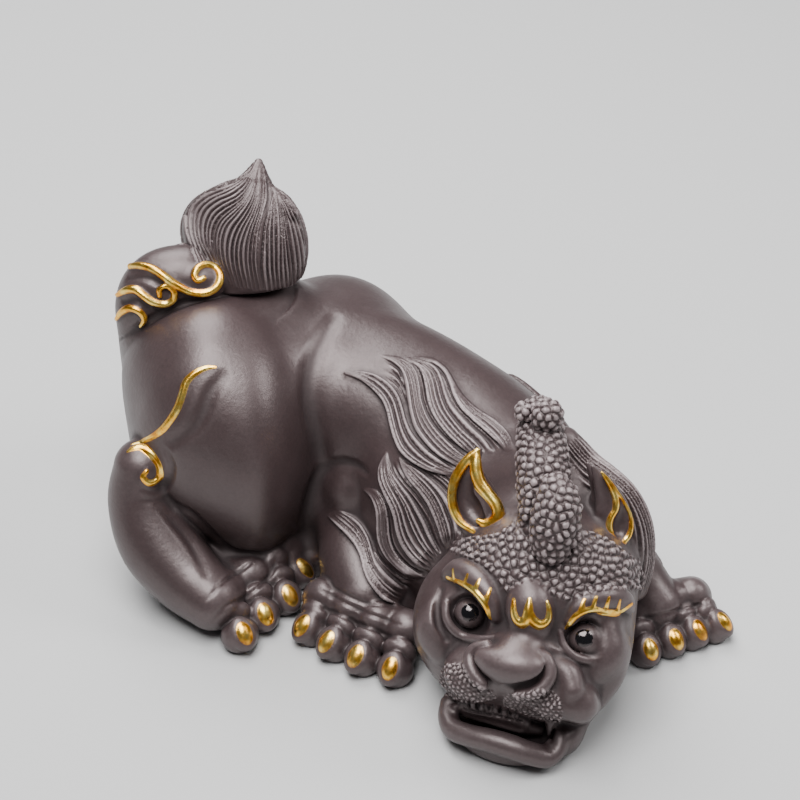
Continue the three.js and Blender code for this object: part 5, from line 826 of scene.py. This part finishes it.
class Nodes:
    def __init__(s,mat): s.t=mat.node_tree
    def new(s,kind,**kw):
        n=s.t.nodes.new(kind)
        for k,v in kw.items():
            if k.startswith('i_'):
                n.inputs[int(k[2:])].default_value=v
            else: setattr(n,k,v)
        return n
    def link(s,a,b): s.t.links.new(a,b)
    def math(s,op,a,b=None,c=None,clamp=False):
        n=s.t.nodes.new('ShaderNodeMath'); n.operation=op; n.use_clamp=clamp
        for i,x in enumerate((a,b,c)):
            if x is None: continue
            if hasattr(x,'links'): s.link(x,n.inputs[i])
            else: n.inputs[i].default_value=x
        return n.outputs[0]
    def mix(s,f,a,b):
        n=s.t.nodes.new('ShaderNodeMix'); n.data_type='RGBA'
        for sock,x in ((n.inputs[0],f),(n.inputs[6],a),(n.inputs[7],b)):
            if hasattr(x,'links'): s.link(x,sock)
            else: sock.default_value=x if not isinstance(x,tuple) or len(x)==4 else (*x,1)
        return n.outputs[2]
    def times(s,a,b):
        n=s.t.nodes.new('ShaderNodeMix'); n.data_type='RGBA'; n.blend_type='MULTIPLY'; n.inputs[0].default_value=1.0; s.link(a,n.inputs[6]); s.link(b,n.inputs[7]); return n.outputs[2]
    def attr(s,name):
        n=s.t.nodes.new('ShaderNodeAttribute'); n.attribute_name=name; n.attribute_type='GEOMETRY'; return n.outputs['Fac']
    def noise(s,co,scale,detail=3.0,rough=0.5):
        n=s.t.nodes.new('ShaderNodeTexNoise'); n.inputs['Scale'].default_value=scale; n.inputs['Detail'].default_value=detail; n.inputs['Roughness'].default_value=rough
        s.link(co,n.inputs['Vector']); return n.outputs['Fac']
    def ramp(s,f,stops):
        n=s.t.nodes.new('ShaderNodeValToRGB'); e=n.color_ramp.elements
        while len(e)<len(stops): e.new(0.5)
        for x,(p,c) in zip(e,stops): x.position=p; x.color=(*c,1) if len(c)==3 else c
        s.link(f,n.inputs[0]); return n.outputs[0]
    def step(s,f,a,b):
        n=s.t.nodes.new('ShaderNodeMapRange'); n.interpolation_type='SMOOTHSTEP'; n.inputs[1].default_value=a; n.inputs[2].default_value=b; n.inputs[3].default_value=0; n.inputs[4].default_value=1
        s.link(f,n.inputs[0]); return n.outputs[0]
def clay_material():
    """dark purple-brown clay with painted shade in its hollows and a painted highlight on its high places, brushed gold
    paint and glossy black pupils
    """
    mat=bpy.data.materials.new('clay_gilded'); mat.use_nodes=True; N=Nodes(mat); b=mat.node_tree.nodes['Principled BSDF']
    co=N.new('ShaderNodeTexCoord').outputs['Object']
    gold_d=N.attr('gold'); pupil=N.attr('pupil'); cav=N.attr('cavity'); rel=N.attr('relief')
    big=N.noise(co,45,3,0.55); fine=N.noise(co,900,4,0.6); mid=N.noise(co,220,3,0.6)
    # clay colour: painted shade in the hollows, a painted highlight on the ridges, slow warm and cool drifts
    base=N.ramp(big,[(0.30,(0.031,0.0200,0.0205)),(0.70,(0.043,0.0285,0.0292))])
    hollow=N.step(cav,-0.03,-1.10); ridge_highlight=N.math('MULTIPLY',N.step(cav,0.12,1.10),N.math('MULTIPLY_ADD',rel,0.88,0.12))
    # painted shade: the clay darkened in the hollows
    c=N.mix(N.math('MULTIPLY',hollow,0.88),base,(0.010,0.006,0.007,1))
    # painted highlight: the ridges and fine relief made paler, as a satin sheen
    c=N.mix(N.math('MULTIPLY',ridge_highlight,N.math('MULTIPLY_ADD',mid,0.7,0.40)),c,(0.28,0.232,0.235,1))
    grain=N.ramp(N.noise(co,1700,4,0.65),[(0.35,(0.86,0.86,0.86)),(0.65,(1.10,1.09,1.09))]); c=N.times(c,grain)
    # gold: thin brushed edge, worn through in places
    edge=N.math('ADD',gold_d,N.math('MULTIPLY',N.math('SUBTRACT',mid,0.5),0.30))
    gm=N.step(edge,0.06,-0.10)
    gcol=N.ramp(N.noise(co,420,3,0.6),[(0.32,(0.78,0.31,0.025)),(0.46,(1.0,0.55,0.065)),(0.64,(1.0,0.75,0.20))])
    gcol=N.mix(N.math('MULTIPLY',N.step(edge,-0.14,0.02),0.80),gcol,(0.42,0.13,0.015,1))
    # painted shade: the gold darkened in the hollows
    gcol=N.mix(N.math('MULTIPLY',hollow,0.70),gcol,(0.20,0.06,0.010,1))
    c=N.mix(gm,c,gcol)
    pm=N.step(pupil,0.35,0.65)
    c=N.mix(pm,c,(0.004,0.004,0.005,1))
    N.link(c,b.inputs['Base Color'])
    N.link(N.math('MULTIPLY',gm,N.math('SUBTRACT',1.0,pm)),b.inputs['Metallic'])
    r=N.math('MULTIPLY_ADD',mid,0.18,0.31); r=N.math('MULTIPLY_ADD',hollow,0.25,r)
    r=N.math('ADD',N.math('MULTIPLY',r,N.math('SUBTRACT',1.0,gm)),N.math('MULTIPLY',gm,N.math('MULTIPLY_ADD',fine,0.15,0.22)))
    r=N.math('ADD',N.math('MULTIPLY',r,N.math('SUBTRACT',1.0,pm)),N.math('MULTIPLY',pm,0.06))
    N.link(r,b.inputs['Roughness'])
    b.inputs['Specular IOR Level'].default_value=0.8; b.inputs['Specular Tint'].default_value=(1.0,0.87,0.86,1)
    bump=N.new('ShaderNodeBump'); bump.inputs['Strength'].default_value=0.32; bump.inputs['Distance'].default_value=0.0002
    N.link(N.math('ADD',fine,N.math('MULTIPLY',mid,0.7)),bump.inputs['Height']); N.link(bump.outputs[0],b.inputs['Normal'])
    return mat
def studio():
    me=bpy.data.meshes.new('floor'); s=1.2; me.from_pydata([(-s,-s,0),(s,-s,0),(s,s,0),(-s,s,0)],[],[(0,1,2,3)]); fl=bpy.data.objects.new('floor',me); bpy.context.collection.objects.link(fl)
    m=bpy.data.materials.new('floor_paint'); m.use_nodes=True; b=m.node_tree.nodes['Principled BSDF']; b.inputs['Base Color'].default_value=(0.46,0.46,0.46,1); b.inputs['Roughness'].default_value=0.85; me.materials.append(m)
    w=bpy.data.worlds.new('studio'); bpy.context.scene.world=w; w.use_nodes=True; w.node_tree.nodes['Background'].inputs[0].default_value=(0.92,0.95,1,1); w.node_tree.nodes['Background'].inputs[1].default_value=0.10
    a0=math.radians(TURN); turn=lambda v: (math.cos(a0)*v[0]-math.sin(a0)*v[1],math.sin(a0)*v[0]+math.cos(a0)*v[1],v[2])
    for loc,size,e in (((-0.12,0.29,0.49),0.38,4.3),((-0.07,-0.14,0.61),0.42,7.5),((0.42,0.02,0.38),0.22,1.6)):
        l=bpy.data.lights.new('softbox','AREA'); l.size=size; l.energy=e; o=bpy.data.objects.new('softbox',l); p=Vector(turn(loc)); o.location=p
        o.rotation_euler=(Vector((0,0,0.025))-p).to_track_quat('-Z','Y').to_euler(); bpy.context.collection.objects.link(o)
def camera(lo,hi,box):
    eye,at,up=[Vector(to_part(p,lo,hi,box)[0]) for p in (EYE,EYE-BACK*500.0,EYE-BACK*500.0+UP*50.0)]
    cd=bpy.data.cameras.new('camera'); co=bpy.data.objects.new('camera',cd); bpy.context.collection.objects.link(co); bpy.context.scene.camera=co
    cd.sensor_width=36.0; cd.lens=36.0/2/(400.0/FPX); cd.clip_start=0.01; cd.clip_end=20
    co.location=eye; co.rotation_euler=(at-eye).to_track_quat('-Z','Y').to_euler()
def cavity(V,Q):
    """how far each point stands above (+) or below (-) the surface round it, in tenths of a millimetre, at two reaches"""
    n=len(V); K=Q.shape[1]; E=np.vstack([Q[:,[k,(k+1)%K]] for k in range(K)]); E=np.vstack([E,E[:,::-1]])
    cnt=np.bincount(E[:,0],minlength=n)[:,None]
    def smooth(X): return np.stack([np.bincount(E[:,0],weights=X[E[:,1],k],minlength=n) for k in range(X.shape[1])],-1)/cnt
    # normals
    a,b,c,d=V[Q[:,0]],V[Q[:,1]],V[Q[:,2]],V[Q[:,K-1]]; f=np.cross(c-a,d-b) if K==4 else np.cross(b-a,c-a); N=np.zeros_like(V)
    for k in range(K):
        for j in range(3): N[:,j]+=np.bincount(Q[:,k],weights=f[:,j],minlength=n)
    N/=np.linalg.norm(N,axis=1)[:,None]+1e-12
    X=V.copy(); out=np.zeros(n)
    for it in range(1,41):
        X=smooth(X)
        if it in (6,40): out+=((V-X)*N).sum(1)*(6.0 if it==6 else 1.6)
    o=out[:,None]
    for _ in range(1): o=smooth(o)
    return o[:,0],N
def open_ears(P,cav):
    """the painted shade of the hollows is mostly held back inside the ears, whose clay is as pale as the clay round
    them, so their wide hollows aren't darkened
    """
    k=np.nonzero(((P>[6,-80,26])&(P<[50,-40,62])).all(1))[0]; q=to_px(P[k])
    w=np.maximum(np.clip(poly_dist(q,EAR_IN_R)/2.0,0,1),np.clip(poly_dist(q,EAR_IN_L)/1.5,0,1)); cav=cav.copy(); cav[k]=np.where(w>0,np.maximum(cav[k],-0.25-1.2*(1-w)),cav[k]); return cav
EAR_IN_R=[(476,462),(466,468),(458,480),(456,494),(459,508),(466,518),(478,524),(486,516),(490,508),(486,500),(478,490),(474,478)]
EAR_IN_L=[(612,486),(619,497),(626,508),(630,520),(629,533),(622,539),(613,532),(611,522),(617,512),(617,500)]
def halves(ob):
    """the mesh as two pieces that meet edge to edge, head and mane in one and body and tail in the other; each keeps the shading of the whole"""
    me=ob.data; n=len(me.vertices); V=np.empty(n*3,np.float32); me.vertices.foreach_get('co',V); V=V.reshape(-1,3)
    N=np.empty(n*3,np.float32); me.vertex_normals.foreach_get('vector',N); N=N.reshape(-1,3)
    T=np.empty(len(me.loops),np.int32); me.loops.foreach_get('vertex_index',T); T=T.reshape(-1,3)
    vals={k:np.empty(n,np.float32) for k in ('gold','pupil','cavity','relief')}
    for k in vals: me.attributes[k].data.foreach_get('value',vals[k])
    side=V[T].mean(1)@cut_axis(); cut=np.partition(side,len(side)//2)[len(side)//2]; mat=clay_material(); out=[]
    for name,keep in (('pixiu_head_mane',side<=cut),('pixiu_body_tail',side>cut)):
        used,new=np.unique(T[keep],return_inverse=True); p=mesh_object(name,V[used],new.reshape(-1,3)); m=p.data
        for k in vals: attribute(m,k,vals[k][used])
        m.polygons.foreach_set('use_smooth',np.ones(len(m.polygons),bool)); m.materials.append(mat)
        m.normals_split_custom_set_from_vertices(N[used]); m.update(); out.append(p); print(name,len(m.polygons),'triangles')
    bpy.data.objects.remove(ob); bpy.data.meshes.remove(me); return out
def cut_axis():
    """from the head towards the tail, in the part's frame"""
    a=math.radians(TURN); v=np.array([-0.62,0.78,0.0]); return np.array([math.cos(a)*v[0]-math.sin(a)*v[1],math.sin(a)*v[0]+math.cos(a)*v[1],0.0])
def make():
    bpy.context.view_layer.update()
    box=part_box(NODE)
    S=build()
    h=0.32
    D,o,_=grid_field(S.ops,(-75,-100,-3.0),(80,60,82.0),h)
    P,Q=nets(D,o,h); P,g=project(S.ops,P,h,1); P,g,Q=refine(P,g,Q,S,0.2)
    col=np.zeros((len(P),3)); P,col,gold,rel=finish(S,P,g,h)
    cav,_=cavity(P,Q); cav=open_ears(P,cav)
    lo,hi=to_part(P,None,None,None)
    W=to_part(P,lo,hi,box)
    ob=mesh_object('pixiu_whole',W,Q); me=ob.data
    attribute(me,'gold',gold); attribute(me,'pupil',col[:,1]); attribute(me,'cavity',cav); attribute(me,'relief',rel)
    reduced(ob,384000)
    for piece in halves(ob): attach(piece,'root'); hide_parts(NODE)
    camera(lo,hi,box); studio()
make()
